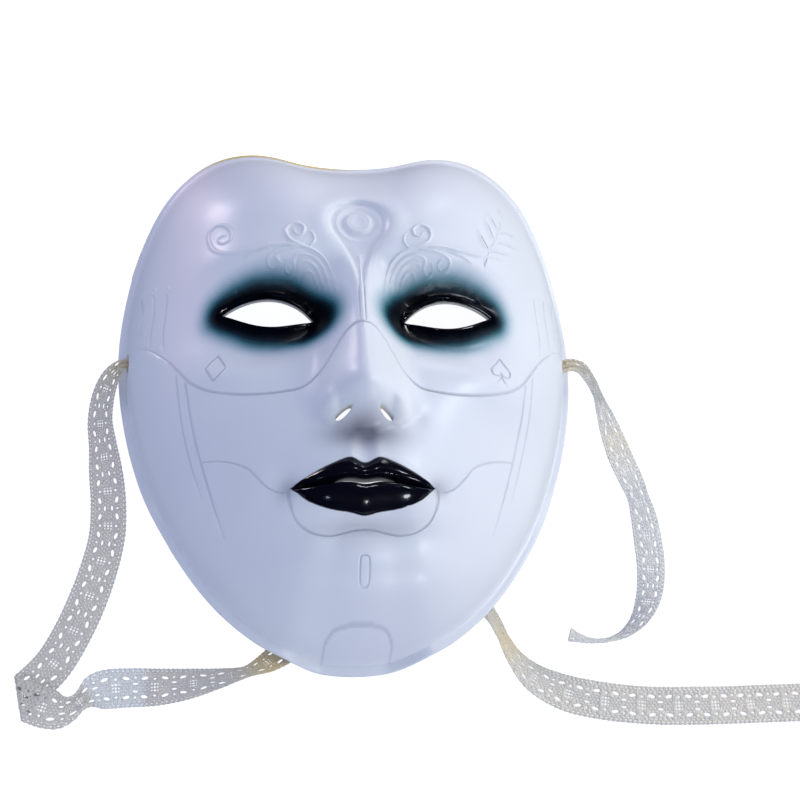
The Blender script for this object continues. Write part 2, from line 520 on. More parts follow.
# stem lines below the medallion, down to the nose bridge
stroke([(-1.0, y) for y in np.linspace(22.0, 6.0, 40)], 0.48, 0.46, groove=True, taper=(0.5, 0.6))
stroke([(1.0, y) for y in np.linspace(22.0, 6.0, 40)], 0.48, 0.46, groove=True, taper=(0.5, 0.6))
stroke([(0.0, y) for y in np.linspace(38.0, 2.0, 90)], 0.52, 0.34, taper=(0.2, 0.3))


def stroke_field(x, y):
    """Highest ridge and deepest groove at each point."""
    up, dn = np.zeros_like(x), np.zeros_like(x)
    for pts, w, h, groove in STROKES:
        wm = w.max()
        lo, hi = pts.min(0) - wm, pts.max(0) + wm
        sel = np.nonzero((x > lo[0]) & (x < hi[0]) & (y > lo[1]) & (y < hi[1]))[0]
        if not len(sel):
            continue
        px, py = x[sel], y[sel]
        best = np.zeros(len(sel))
        for i in range(len(pts) - 1):
            (ax, ay), (bx, by) = pts[i], pts[i + 1]
            dx, dy = bx - ax, by - ay
            near = np.nonzero((px > min(ax, bx) - wm) & (px < max(ax, bx) + wm)
                              & (py > min(ay, by) - wm) & (py < max(ay, by) + wm))[0]
            if not len(near):
                continue
            qx, qy = px[near], py[near]
            t = np.clip(((qx - ax) * dx + (qy - ay) * dy) / max(dx * dx + dy * dy, 1e-12), 0, 1)
            d = np.hypot(qx - ax - t * dx, qy - ay - t * dy)
            ww = w[i] + (w[i + 1] - w[i]) * t
            v = np.maximum(1 - (d / ww) ** 2, 0) ** 1.6 * np.minimum(ww / wm * 1.15, 1.0)
            best[near] = np.maximum(best[near], v)
        if groove:
            dn[sel] = np.maximum(dn[sel], h * best)
        else:
            up[sel] = np.maximum(up[sel], h * best)
    return up, dn


def medallion_field(x, y):
    z = np.zeros_like(x)
    sel = np.nonzero((np.abs(x) < 26) & (y > 14) & (y < 80))[0]
    if not len(sel):
        return z
    px, py = x[sel], y[sel]
    d = dist_poly(px, py, MED_LOOP)
    r = np.hypot(px - MED[0], py - MED[1])
    out = 0.95 * np.exp(-0.5 * ((d - 3.0) / 3.2) ** 2) * (d > 0) * sstep(0, 1.2, d) * sstep(22, 40, py)
    sunk = -1.00 * (1 - sstep(-0.50, 0.28, d)) * sstep(18, 30, py)
    sunk = sunk - 0.22 * np.maximum(1 - ((d - 0.42) / 0.42) ** 2, 0) ** 1.5 * sstep(18, 30, py)
    ring = 0.24 * np.maximum(1 - ((r - 8.3) / 0.75) ** 2, 0) ** 1.5
    disc = 1.35 * (1 - sstep(4.3, 5.5, r)) - 0.020 * np.maximum(4.4 - r, 0) ** 2
    disc = np.where(r < 5.8, np.maximum(disc, 0.0), 0.0)
    groove = -0.30 * np.maximum(1 - ((r - 6.2) / 0.65) ** 2, 0) ** 1.5
    bead = -0.22 * np.maximum(1 - ((r - 3.7) / 0.45) ** 2, 0) ** 1.5
    z[sel] = out + sunk + ring + disc + groove + bead
    return z


def eye_part():
    """Eye opening outline in the part's millimetres, right side."""
    return eye_loop(132) * (WIDTH_K, HEIGHT_K) + (0.0, Y_CENTRE)


EYE_MM = eye_part()


def height(X, Y, detail=1.0):
    """Height of the outer surface, in the part's millimetres."""
    z = face(X / WIDTH_K, (Y - Y_CENTRE) / HEIGHT_K, detail) * DEPTH_K
    if detail:
        up, dn = stroke_field(X, Y)
        z = z + up - dn + medallion_field(X, Y)
    return z


# ---------------------------------------------------------------- meshing
def grid_filter(cands, taken, reach):
    """Keeps candidates, in order, that stay at least their own spacing from every kept point."""
    cell = reach
    bins = {}
    for p, r in taken:
        bins.setdefault((int(p[0] // cell), int(p[1] // cell)), []).append((p[0], p[1], r))
    kept = []
    for x, y, r in cands:
        i, j = int(x // cell), int(y // cell)
        ok = True
        for di in (-1, 0, 1):
            for dj in (-1, 0, 1):
                for (qx, qy, qr) in bins.get((i + di, j + dj), ()):
                    m = 0.5 * (r + qr)
                    if (qx - x) ** 2 + (qy - y) ** 2 < m * m:
                        ok = False
                        break
                if not ok:
                    break
            if not ok:
                break
        if ok:
            bins.setdefault((i, j), []).append((x, y, r))
            kept.append((x, y))
    return kept


def offset_ring(loop, d):
    """Loop moved outward by d."""
    nxt, prv = np.roll(loop, -1, 0), np.roll(loop, 1, 0)
    t = unit(nxt - prv)
    n = np.stack([t[:, 1], -t[:, 0]], 1)
    area = 0.5 * np.sum(loop[:, 0] * nxt[:, 1] - nxt[:, 0] * loop[:, 1])
    return loop + n * d * (1 if area > 0 else -1)


def hole_loops():
    loops = [EYE_MM, EYE_MM[::-1] * (-1, 1)]
    t = np.linspace(0, 2 * np.pi, 40, endpoint=False)
    c, s = math.cos(0.35), math.sin(0.35)
    ex, ey = 2.9 * np.cos(t), 1.15 * np.sin(t)
    nostril = np.stack([7.6 + c * ex + s * ey, -32.6 - s * ex + c * ey], 1) * (WIDTH_K, HEIGHT_K) + (0.0, Y_CENTRE)
    loops += [nostril, nostril[::-1] * (-1, 1)]
    t = np.linspace(0, 2 * np.pi, 72, endpoint=False)
    x = SLIT_W * np.cos(t)
    slit = np.stack([x, lip_mid(x) + 0.15 + SLIT_H * np.sin(t)], 1)
    loops.append(slit * (WIDTH_K, HEIGHT_K) + (0.0, Y_CENTRE))
    return loops


N_RIM = 960


def wall_point(phi, d):
    """Point of the wall at height d over the lip, in the part's millimetres (radial, height)."""
    cx, sy = np.cos(phi), np.sin(phi)
    R = radius(phi)
    _, zr, h, p, q, lam = wall_terms(cx * R, sy * R)
    rho = lam * (1 - np.clip(d / h, 0, 1) ** q) ** (1 / p)
    X, Y = rho * R * cx * WIDTH_K, rho * R * sy * HEIGHT_K + Y_CENTRE
    return X, Y


def rim_points(phi, inset):
    """Points of the lip, inset from its outer edge by so many mm."""
    R = radius(phi)
    k = 1 - inset / R
    return R * k * np.cos(phi) * WIDTH_K, R * k * np.sin(phi) * HEIGHT_K + Y_CENTRE


def build_shell():
    phi = np.linspace(-np.pi, np.pi, N_RIM, endpoint=False) + np.pi / N_RIM
    zr = rim_z(phi) * DEPTH_K
    lip = LIP_H * DEPTH_K
    verts, tag = [], []          # tag 0 outer, 1 inner, 2 edge

    def ring(X, Y, Z, t):
        i = len(verts)
        verts.extend(zip(X, Y, Z))
        tag.extend([t] * len(X))
        return np.arange(i, i + len(X))

    faces = []

    def join(a, b):
        n = len(a)
        for i in range(n):
            j = (i + 1) % n
            faces.append((a[i], a[j], b[j], b[i]))

    # rounded outer edge of the lip, from its underside to its top
    prof = [(3.0, 0.0), (0.9, 0.0), (0.42, 0.06), (0.12, 0.34), (0.0, 0.85), (0.0, 1.35), (0.12, 1.80), (0.42, 2.06),
            (0.9, lip)]
    rings = []
    for inset, dz in prof:
        X, Y = rim_points(phi, inset)
        rings.append(ring(X, Y, zr + min(dz, lip), 2 if inset < 0.9 else (1 if dz == 0 else 0)))
    bottom = rings[0]
    for a, b in zip(rings[:-1], rings[1:]):
        join(a, b)
    # outer wall
    heights = [0.0, 0.35, 0.75, 1.2, 1.8, 2.5, 3.3, 4.2] + [5.1 + 0.876 * k for k in range(26)]
    prev = rings[-1]
    X, Y = rim_points(phi, 2.0)
    r = ring(X, Y, zr + lip, 0)
    join(prev, r)
    prev = r
    for d in heights:
        X, Y = wall_point(phi, d)
        r = ring(X, Y, height(X, Y) if d > 0.5 else zr + (d**3 + LIP_H**3) ** (1 / 3) * DEPTH_K, 0)
        join(prev, r)
        prev = r
    top_ring = prev
    ring_xy = np.array([verts[i][:2] for i in top_ring])
    loops = hole_loops()
    loop_ids = []
    for lp in loops:
        z = height(lp[:, 0], lp[:, 1]) - 0.42
        loop_ids.append(ring(lp[:, 0], lp[:, 1], z, 0))

    def fill(step_of, extra, ring_ids, loop_ids, z_of, t, flip):
        base_pts = [Vector(p) for p in ring_xy]
        edges = [(i, (i + 1) % N_RIM) for i in range(N_RIM)]
        ids = list(ring_ids)
        taken = [((p[0], p[1]), step_of(p[0], p[1]) * 0.8) for p in ring_xy[::2]]
        for lp, li in zip(loops, loop_ids):
            a = len(base_pts)
            base_pts += [Vector(p) for p in lp]
            edges += [(a + i, a + (i + 1) % len(lp)) for i in range(len(lp))]
            ids += list(li)
            taken += [((p[0], p[1]), 0.30) for p in lp]
        cands = list(extra)
        for step in sorted({0.62, 0.9, 1.25, 2.6} if t == 0 else {1.3, 2.6, 3.4}):
            rows = np.arange(-108, 108, step * 0.866)
            for r_, y in enumerate(rows):
                for x in np.arange(-94, 94.1, step) + (step / 2 if r_ % 2 else 0.0):
                    if abs(step_of(x, y) - step) < 1e-6:
                        cands.append((x, y, step))
        c = np.array([(x, y) for x, y, _ in cands])
        keep = dist_poly(c[:, 0], c[:, 1], ring_xy[::4]) < -0.6
        for lp in loops:
            keep &= dist_poly(c[:, 0], c[:, 1], lp[::2]) > 0.22
        kept = grid_filter([q for q, k in zip(cands, keep) if k], taken, 3.5)
        first = len(base_pts)
        base_pts += [Vector(p) for p in kept]
        out, _, fs, orig, _, _ = delaunay_2d_cdt(base_pts, edges, [], 0, 1e-6)
        xy = np.array([tuple(v) for v in out])
        if len(out) != len(base_pts):
            raise RuntimeError("outline loops cross: %d, %d" % (len(out), len(base_pts)))
        kp = np.array(kept)
        z = z_of(kp[:, 0], kp[:, 1])
        new = ring(kp[:, 0], kp[:, 1], z, t)
        ids += list(new)
        cen = np.array([xy[list(f)].mean(0) for f in fs])
        on_ring = np.array([sum(i < N_RIM for i in f) > 1 for f in fs])
        good = np.ones(len(fs), bool)
        good[on_ring] = dist_poly(cen[on_ring, 0], cen[on_ring, 1], ring_xy) < 0
        for lp in loops:
            good &= dist_poly(cen[:, 0], cen[:, 1], lp) > 0
        for f, g in zip(fs, good):
            if g:
                f = tuple(ids[i] for i in f)
                faces.append(f[::-1] if flip else f)

    def step_outer(x, y):
        ax = abs(x)
        if ((ax - 33.7) / 21.5) ** 2 + ((y - 16.8) / 12.5) ** 2 < 1:
            return 0.9
        if ax < 29 and -66 < y < -42:
            return 0.62 if ax < 28 and abs(y + 52.5) < 12 else 0.9
        if ax < 18 and -40 < y < 5:
            return 0.9
        return 1.25

    extra = []
    for lp in loops:
        for d, g in ((0.32, 0.30), (0.7, 0.40), (1.15, 0.50), (1.7, 0.6)):
            extra += [(x, y, g) for x, y in offset_ring(lp, d)]
    for pts, w, h, groove in STROKES:
        t = unit(np.gradient(pts, axis=0))
        n = np.stack([-t[:, 1], t[:, 0]], 1)
        s = np.concatenate([[0], np.cumsum(np.linalg.norm(np.diff(pts, axis=0), axis=1))])
        m = max(int(s[-1] / 0.50), 3)
        at = np.linspace(0, s[-1], m + 1)
        P = np.stack([np.interp(at, s, pts[:, 0]), np.interp(at, s, pts[:, 1])], 1)
        N = unit(np.stack([np.interp(at, s, n[:, 0]), np.interp(at, s, n[:, 1])], 1))
        W = np.interp(at, s, w)
        for k in (0.0, 1.0, -1.0, 0.5, -0.5, 1.6, -1.6):
            extra += [(x, y, 0.26) for x, y in P + N * (W * k)[:, None]]
    for rr in (2.3, 2.7, 3.1, 3.7, 4.2, 4.55, 4.9, 5.3, 5.75, 6.2, 6.65, 7.5, 7.95, 8.3, 8.65, 9.1):
        m = int(2 * np.pi * rr / 0.50)
        extra += [(MED[0] + rr * math.cos(a), MED[1] + rr * math.sin(a), 0.28) for a in
                  np.linspace(0, 2 * np.pi, m, endpoint=False)]
    for d in (-0.8, -0.5, -0.2, 0.1, 0.4, 0.8, 1.3):
        extra += [(x, y, 0.28) for x, y in offset_ring(MED_LOOP, d)]
    # lip outline, so that the edge of the paint and the swelling is crisp
    xs = np.linspace(-MOUTH_W, MOUTH_W, 120)
    for off in (-0.45, 0.0, 0.45):
        for fn in (lip_up, lip_low):
            extra += [(x * WIDTH_K, (y + off) * HEIGHT_K + Y_CENTRE, 0.34) for x, y in zip(xs, fn(xs))]
    for off in (-2.2, -1.5, -0.9, -0.45, 0.0, 0.45, 0.9, 1.5, 2.2):
        extra += [(x * WIDTH_K, (y + off) * HEIGHT_K + Y_CENTRE, 0.34) for x, y in zip(xs, lip_mid(xs))]
    fill(step_outer, extra, top_ring, loop_ids, lambda x, y: height(x, y) - 0.42 * np.maximum(
        1 - hole_distance(x, y, loops) / 0.7, 0.0) ** 2, 0, False)
    n_outer = len(verts)

    # inner wall and inner surface
    def surf_in(x, y):
        z = height(x, y, 0.0)
        e = 1.2
        gx = (height(x + e, y, 0.0) - height(x - e, y, 0.0)) / (2 * e)
        gy = (height(x, y + e, 0.0) - height(x, y - e, 0.0)) / (2 * e)
        return z - np.minimum(SHELL_T * np.sqrt(1 + gx**2 + gy**2), 6.0)

    prev = bottom
    cx, sy = np.cos(phi), np.sin(phi)
    for k, d in enumerate((3.2, 5.0, 7.5, 10.5, 14.0, 18.0, 22.5)):
        X, Y = wall_point(phi, d)
        X1, Y1 = wall_point(phi, d + 0.2)
        z0, z1 = height(X, Y, 0.0), height(X1, Y1, 0.0)
        dr = np.hypot(X1, Y1 - Y_CENTRE) - np.hypot(X, Y - Y_CENTRE)
        dz = z1 - z0
        ln = np.hypot(dr, dz)
        nr, nz = dz / ln, -dr / ln
        if k == 0:
            xb, yb = X - SHELL_T * nr * cx, Y - SHELL_T * nr * sy
            r = ring(xb, yb, zr, 1)
            join(r, prev)
            prev = r
        zi = np.maximum(z0 - SHELL_T * nz, zr + 0.8 + 0.8 * k)
        r = ring(X - SHELL_T * nr * cx, Y - SHELL_T * nr * sy, zi, 1)
        join(r, prev)
        prev = r
    r = ring(ring_xy[:, 0], ring_xy[:, 1], surf_in(ring_xy[:, 0], ring_xy[:, 1]), 1)
    join(r, prev)
    in_loops = []
    for lp, li in zip(loops, loop_ids):
        q = ring(lp[:, 0], lp[:, 1], surf_in(lp[:, 0], lp[:, 1]), 1)
        zo = np.array([verts[i][2] for i in li])
        zi = np.array([verts[i][2] for i in q])
        mid = ring(lp[:, 0], lp[:, 1], 0.5 * (zo + zi), 2)
        join(li[::-1], mid[::-1])
        join(mid[::-1], q[::-1])
        in_loops.append(q)

    def step_inner(x, y):
        return 1.3 if ((abs(x) - 33.7) / 22) ** 2 + ((y - 16.8) / 12) ** 2 < 1 or (abs(x) < 16 and -38 < y < -25) \
            else (2.6 if abs(x) < 50 and -70 < y < 50 else 3.4)

    ex = []
    for lp in loops:
        ex += [(x, y, 0.6) for x, y in offset_ring(lp, 0.8)[::2]]
    fill(step_inner, ex, r, in_loops, surf_in, 1, True)

    V = np.array(verts)
    me = bpy.data.meshes.new("moulded_shell")
    me.from_pydata([tuple(v) for v in V * MM], [], faces)
    me.update()
    bm = bmesh.new()
    bm.from_mesh(me)
    bmesh.ops.recalc_face_normals(bm, faces=bm.faces)
    big = max(bm.faces, key=lambda f: f.calc_center_median().z)
    if big.normal.z < 0:
        bmesh.ops.reverse_faces(bm, faces=bm.faces)
    bmesh.ops.triangulate(bm, faces=[f for f in bm.faces if len(f.verts) > 3])
    bad = [e for e in bm.edges if len(e.link_faces) != 2]
    print("shell", len(bm.verts), len(bm.faces), "open edges", len(bad))
    for e in bad[:6]:
        print("  bad", [tuple(round(c * 1000, 2) for c in v.co) for v in e.verts], len(e.link_faces))
    bm.to_mesh(me)
    bm.free()
    side = me.attributes.new("side", "FLOAT", "POINT")
    side.data.foreach_set("value", np.array(tag, float).astype(np.float32))
    ob = bpy.data.objects.new("moulded_shell", me)
    bpy.context.scene.collection.objects.link(ob)
    return ob


def hole_distance(x, y, loops):
    d = np.full(len(x), 9.0)
    for lp in loops:
        lo, hi = lp.min(0) - 2, lp.max(0) + 2
        sel = np.nonzero((x > lo[0]) & (x < hi[0]) & (y > lo[1]) & (y < hi[1]))[0]
        if len(sel):
            d[sel] = np.minimum(d[sel], np.abs(dist_poly(x[sel], y[sel], lp)))
    return d


# ---------------------------------------------------------------- materials
def mat(name):
    m = bpy.data.materials.new(name)
    m.use_nodes = True
    nt = m.node_tree
    return m, nt, nt.nodes["Principled BSDF"]


def node(nt, kind, x=0, y=0, **props):
    n = nt.nodes.new(kind)
    n.location = (x, y)
    for k, v in props.items():
        setattr(n, k, v)
    return n


def attr(nt, name):
    return node(nt, "ShaderNodeAttribute", attribute_name=name)


def ramp(nt, fac, stops, interp="LINEAR"):
    r = node(nt, "ShaderNodeValToRGB")
    r.color_ramp.interpolation = interp
    while len(r.color_ramp.elements) < len(stops):
        r.color_ramp.elements.new(0.5)
    for e, (p, c) in zip(r.color_ramp.elements, stops):
        e.position = p
        e.color = (*c, 1.0) if len(c) == 3 else c
    nt.links.new(fac, r.inputs["Fac"])
    return r.outputs["Color"]


def math_node(nt, op, a, b=None, c=None, clamp=False):
    n = node(nt, "ShaderNodeMath", operation=op, use_clamp=clamp)
    for i, v in enumerate((a, b, c)):
        if v is None:
            continue
        if isinstance(v, (int, float)):
            n.inputs[i].default_value = v
        else:
            nt.links.new(v, n.inputs[i])
    return n.outputs[0]


def mix_col(nt, fac, a, b, blend="MIX"):
    n = node(nt, "ShaderNodeMix", data_type="RGBA", blend_type=blend)
    for key, v in (("Factor", fac), ("A", a), ("B", b)):
        sock = [s for s in n.inputs if s.name == key and s.enabled][0] if key == "Factor" else \
            [s for s in n.inputs if s.name == key and s.type == "RGBA"][0]
        if isinstance(v, (int, float)):
            sock.default_value = v
        elif isinstance(v, tuple):
            sock.default_value = (*v, 1.0)
        else:
            nt.links.new(v, sock)
    return [s for s in n.outputs if s.type == "RGBA"][0]


def noise(nt, scale, detail=2.0, rough=0.5, coord=None, dist=0.0):
    n = node(nt, "ShaderNodeTexNoise")
    n.inputs["Scale"].default_value = scale
    n.inputs["Detail"].default_value = detail
    n.inputs["Roughness"].default_value = rough
    n.inputs["Distortion"].default_value = dist
    if coord is None:
        coord = node(nt, "ShaderNodeTexCoord").outputs["Object"]
    nt.links.new(coord, n.inputs["Vector"])
    return n.outputs["Fac"]


def bump(nt, height_sock, strength, distance, normal=None):
    b = node(nt, "ShaderNodeBump")
    b.inputs["Strength"].default_value = strength
    b.inputs["Distance"].default_value = distance
    nt.links.new(height_sock, b.inputs["Height"])
    if normal is not None:
        nt.links.new(normal, b.inputs["Normal"])
    return b.outputs["Normal"]


def lacquer():
    """White satin-gloss lacquer, airbrushed round the eyes, glossy lips, plain cream inside."""
    m, nt, b = mat("lacquered_shell")
    # airbrushed eye surround, with the fine speckle of the spray
    speck = noise(nt, 2600.0, 2.0, 0.6)
    cloud = noise(nt, 120.0, 3.0, 0.5)
    sh = attr(nt, "shade").outputs["Fac"]
    sh = math_node(nt, "ADD", sh, math_node(nt, "MULTIPLY", math_node(nt, "SUBTRACT", speck, 0.5), 0.06))
    sh = math_node(nt, "ADD", sh, math_node(nt, "MULTIPLY", math_node(nt, "SUBTRACT", cloud, 0.5), 0.10), clamp=True)
    on = attr(nt, "shade").outputs["Fac"]
    sh = math_node(nt, "MULTIPLY", sh, math_node(nt, "MULTIPLY", on, 14.0, clamp=True))
    white = mix_col(nt, noise(nt, 26.0, 3.0, 0.5), (0.790, 0.802, 0.845), (0.820, 0.826, 0.862))
    white = mix_col(nt, math_node(nt, "MULTIPLY", attr(nt, "pearl").outputs["Fac"], 0.95), white,
                    (1.0, 0.90, 0.93))
    eye = ramp(nt, sh, [(0.0, (1, 1, 1)), (0.12, (0.93, 0.955, 0.965)), (0.26, (0.76, 0.83, 0.86)),
                        (0.40, (0.46, 0.60, 0.65)), (0.52, (0.17, 0.34, 0.39)), (0.62, (0.030, 0.14, 0.17)),
                        (0.71, (0.0040, 0.030, 0.052)), (0.82, (0.0016, 0.0045, 0.011)),
                        (1.0, (0.0012, 0.0016, 0.0045))])
    col = mix_col(nt, 1.0, white, eye, "MULTIPLY")
    # smudge under the nose and soft shading in the creases of the mouth
    sm = attr(nt, "smudge").outputs["Fac"]
    col = mix_col(nt, math_node(nt, "MULTIPLY", sm, math_node(nt, "ADD", 0.75, math_node(nt, "MULTIPLY", cloud, 0.5)),
                                clamp=True), col, (0.115, 0.105, 0.150))
    # lips
    lip = attr(nt, "lip_dist").outputs["Fac"]
    edge = math_node(nt, "ADD", lip, math_node(nt, "MULTIPLY", math_node(nt, "SUBTRACT", noise(nt, 700.0), 0.5), 0.18))
    lips = math_node(nt, "MULTIPLY", math_node(nt, "SUBTRACT", 0.22, edge), 3.2, clamp=True)
    col = mix_col(nt, lips, col, (0.0030, 0.0034, 0.0085))
    # dust and handling in the grooves
    grime = attr(nt, "groove").outputs["Fac"]
    col = mix_col(nt, math_node(nt, "MULTIPLY", grime, 0.34), col, (0.36, 0.37, 0.47))
    # inside
    outer = attr(nt, "outer").outputs["Fac"]
    grain = noise(nt, 900.0, 4.0, 0.6)
    inside = mix_col(nt, noise(nt, 60.0, 3.0, 0.6), (0.62, 0.58, 0.50), (0.72, 0.69, 0.62))
    col = mix_col(nt, outer, inside, col)
    gold = math_node(nt, "MULTIPLY", attr(nt, "gold").outputs["Fac"],
                     math_node(nt, "MULTIPLY_ADD", noise(nt, 800.0), 0.9, 0.55), clamp=True)
    col = mix_col(nt, gold, col, (0.80, 0.58, 0.16))
    nt.links.new(col, b.inputs["Base Color"])
    # roughness: satin white, glossy black, matt inside
    dark = math_node(nt, "MAXIMUM", attr(nt, "lid").outputs["Fac"], lips)
    rough = math_node(nt, "ADD", 0.36, math_node(nt, "MULTIPLY", noise(nt, 45.0, 4.0, 0.6), 0.12))
    rough = math_node(nt, "ADD", rough, math_node(nt, "MULTIPLY", dark, -0.30))
    rough = math_node(nt, "ADD", math_node(nt, "MULTIPLY", rough, outer),
                      math_node(nt, "MULTIPLY", math_node(nt, "SUBTRACT", 1.0, outer), 0.62))
    nt.links.new(rough, b.inputs["Roughness"])
    b.inputs["IOR"].default_value = 1.36
    b.inputs["Coat Weight"].default_value = 0.12
    b.inputs["Coat Roughness"].default_value = 0.22
    peel = noise(nt, 420.0, 2.0, 0.5)
    n1 = bump(nt, peel, 0.05, 0.0004)
    n2 = bump(nt, math_node(nt, "MULTIPLY", grain, math_node(nt, "SUBTRACT", 1.0, outer)), 0.35, 0.0006, n1)
    nt.links.new(n2, b.inputs["Normal"])
    return m


def lace_mat(name, a, c):
    """Cream cotton: soft twisted thread, worked in rows."""
    m, nt, b = mat(name)
    uv = node(nt, "ShaderNodeUVMap", uv_map="lace").outputs["UV"]
    sep = node(nt, "ShaderNodeSeparateXYZ")
    nt.links.new(uv, sep.inputs[0])
    u, v = sep.outputs[0], sep.outputs[1]          # across and along, in mm
    # stitches: short slanted threads in rows 0.62 mm apart
    rows = math_node(nt, "SINE", math_node(nt, "MULTIPLY", v, 2 * math.pi / 0.62))
    slant = math_node(nt, "ADD", math_node(nt, "MULTIPLY", u, 2 * math.pi / 0.55),
                      math_node(nt, "MULTIPLY", rows, 0.9))
    st = math_node(nt, "SINE", slant)
    weave = math_node(nt, "ADD", math_node(nt, "MULTIPLY", rows, 0.5), math_node(nt, "MULTIPLY", st, 0.5))
    coarse = math_node(nt, "MULTIPLY", math_node(nt, "SINE", math_node(nt, "MULTIPLY", v, 2 * math.pi / 1.45)),
                       math_node(nt, "SINE", math_node(nt, "MULTIPLY", u, 2 * math.pi / 2.2)))
    fuzz = noise(nt, 5200.0, 3.0, 0.7)
    patch = noise(nt, 160.0, 3.0, 0.6)
    tone = ramp(nt, patch, [(0.30, a), (0.72, c)])
    deep = math_node(nt, "MULTIPLY_ADD", weave, 0.5, 0.5, clamp=True)
    col = mix_col(nt, math_node(nt, "MULTIPLY", math_node(nt, "SUBTRACT", 1.0, deep), 0.12), tone,
                  tuple(x * 0.58 for x in c))
    mott = math_node(nt, "MULTIPLY_ADD", coarse, 0.5, math_node(nt, "SUBTRACT", noise(nt, 520.0, 2.0, 0.5), 0.5))
    col = mix_col(nt, math_node(nt, "MULTIPLY_ADD", mott, 0.14, 0.01, clamp=True), col,
                  tuple(x * 0.55 for x in a))
    white = attr(nt, "white").outputs["Fac"]
    col = mix_col(nt, math_node(nt, "MULTIPLY", white, 0.95), col, (1.0, 0.97, 0.90))
    warm = attr(nt, "warm").outputs["Fac"]
    col = mix_col(nt, math_node(nt, "MULTIPLY", warm, 0.75, clamp=True), col, (0.96, 0.76, 0.40))
    nt.links.new(col, b.inputs["Base Color"])
    b.inputs["Roughness"].default_value = 0.86
    b.inputs["Sheen Weight"].default_value = 0.25
    b.inputs["Sheen Roughness"].default_value = 0.5
    b.inputs["Specular IOR Level"].default_value = 0.25
    h = math_node(nt, "ADD", math_node(nt, "MULTIPLY", weave, 0.8), math_node(nt, "MULTIPLY", fuzz, 0.5))
    nt.links.new(bump(nt, h, 0.75, 0.00022), b.inputs["Normal"])
    return m


def gilt_mat():
    m, nt, b = mat("gilt_cord")
    tone = ramp(nt, noise(nt, 900.0, 3.0, 0.6), [(0.30, (0.62, 0.40, 0.11)), (0.70, (0.90, 0.70, 0.30))])
    nt.links.new(tone, b.inputs["Base Color"])
    b.inputs["Metallic"].default_value = 0.85
    r = math_node(nt, "MULTIPLY_ADD", noise(nt, 1500.0), 0.25, 0.26)
    nt.links.new(r, b.inputs["Roughness"])
    nt.links.new(bump(nt, noise(nt, 3000.0, 2.0), 0.3, 0.0002), b.inputs["Normal"])
    return m


# ---------------------------------------------------------------- the shell piece
def tie_hole_cutter(side):
    y0, z0 = TIE_HOLE_Y + Y_CENTRE, TIE_HOLE_Z
    bm = bmesh.new()
    rows = []
    for x in (78.0, 99.0):
        rows.append([bm.verts.new((side * x * MM, (y0 + TIE_HOLE_A * math.cos(t)) * MM,
                                   (z0 + TIE_HOLE_B * math.sin(t)) * MM))
                     for t in np.linspace(0, 2 * np.pi, 40, endpoint=False)])
    bm.faces.new(rows[0])
    bm.faces.new(rows[1][::-1])
    for k in range(40):
        bm.faces.new((rows[0][k], rows[1][k], rows[1][(k + 1) % 40], rows[0][(k + 1) % 40]))
    bmesh.ops.recalc_face_normals(bm, faces=bm.faces)
    me = bpy.data.meshes.new("cutter")
    bm.to_mesh(me)
    bm.free()
    ob = bpy.data.objects.new("cutter", me)
    bpy.context.scene.collection.objects.link(ob)
    return ob


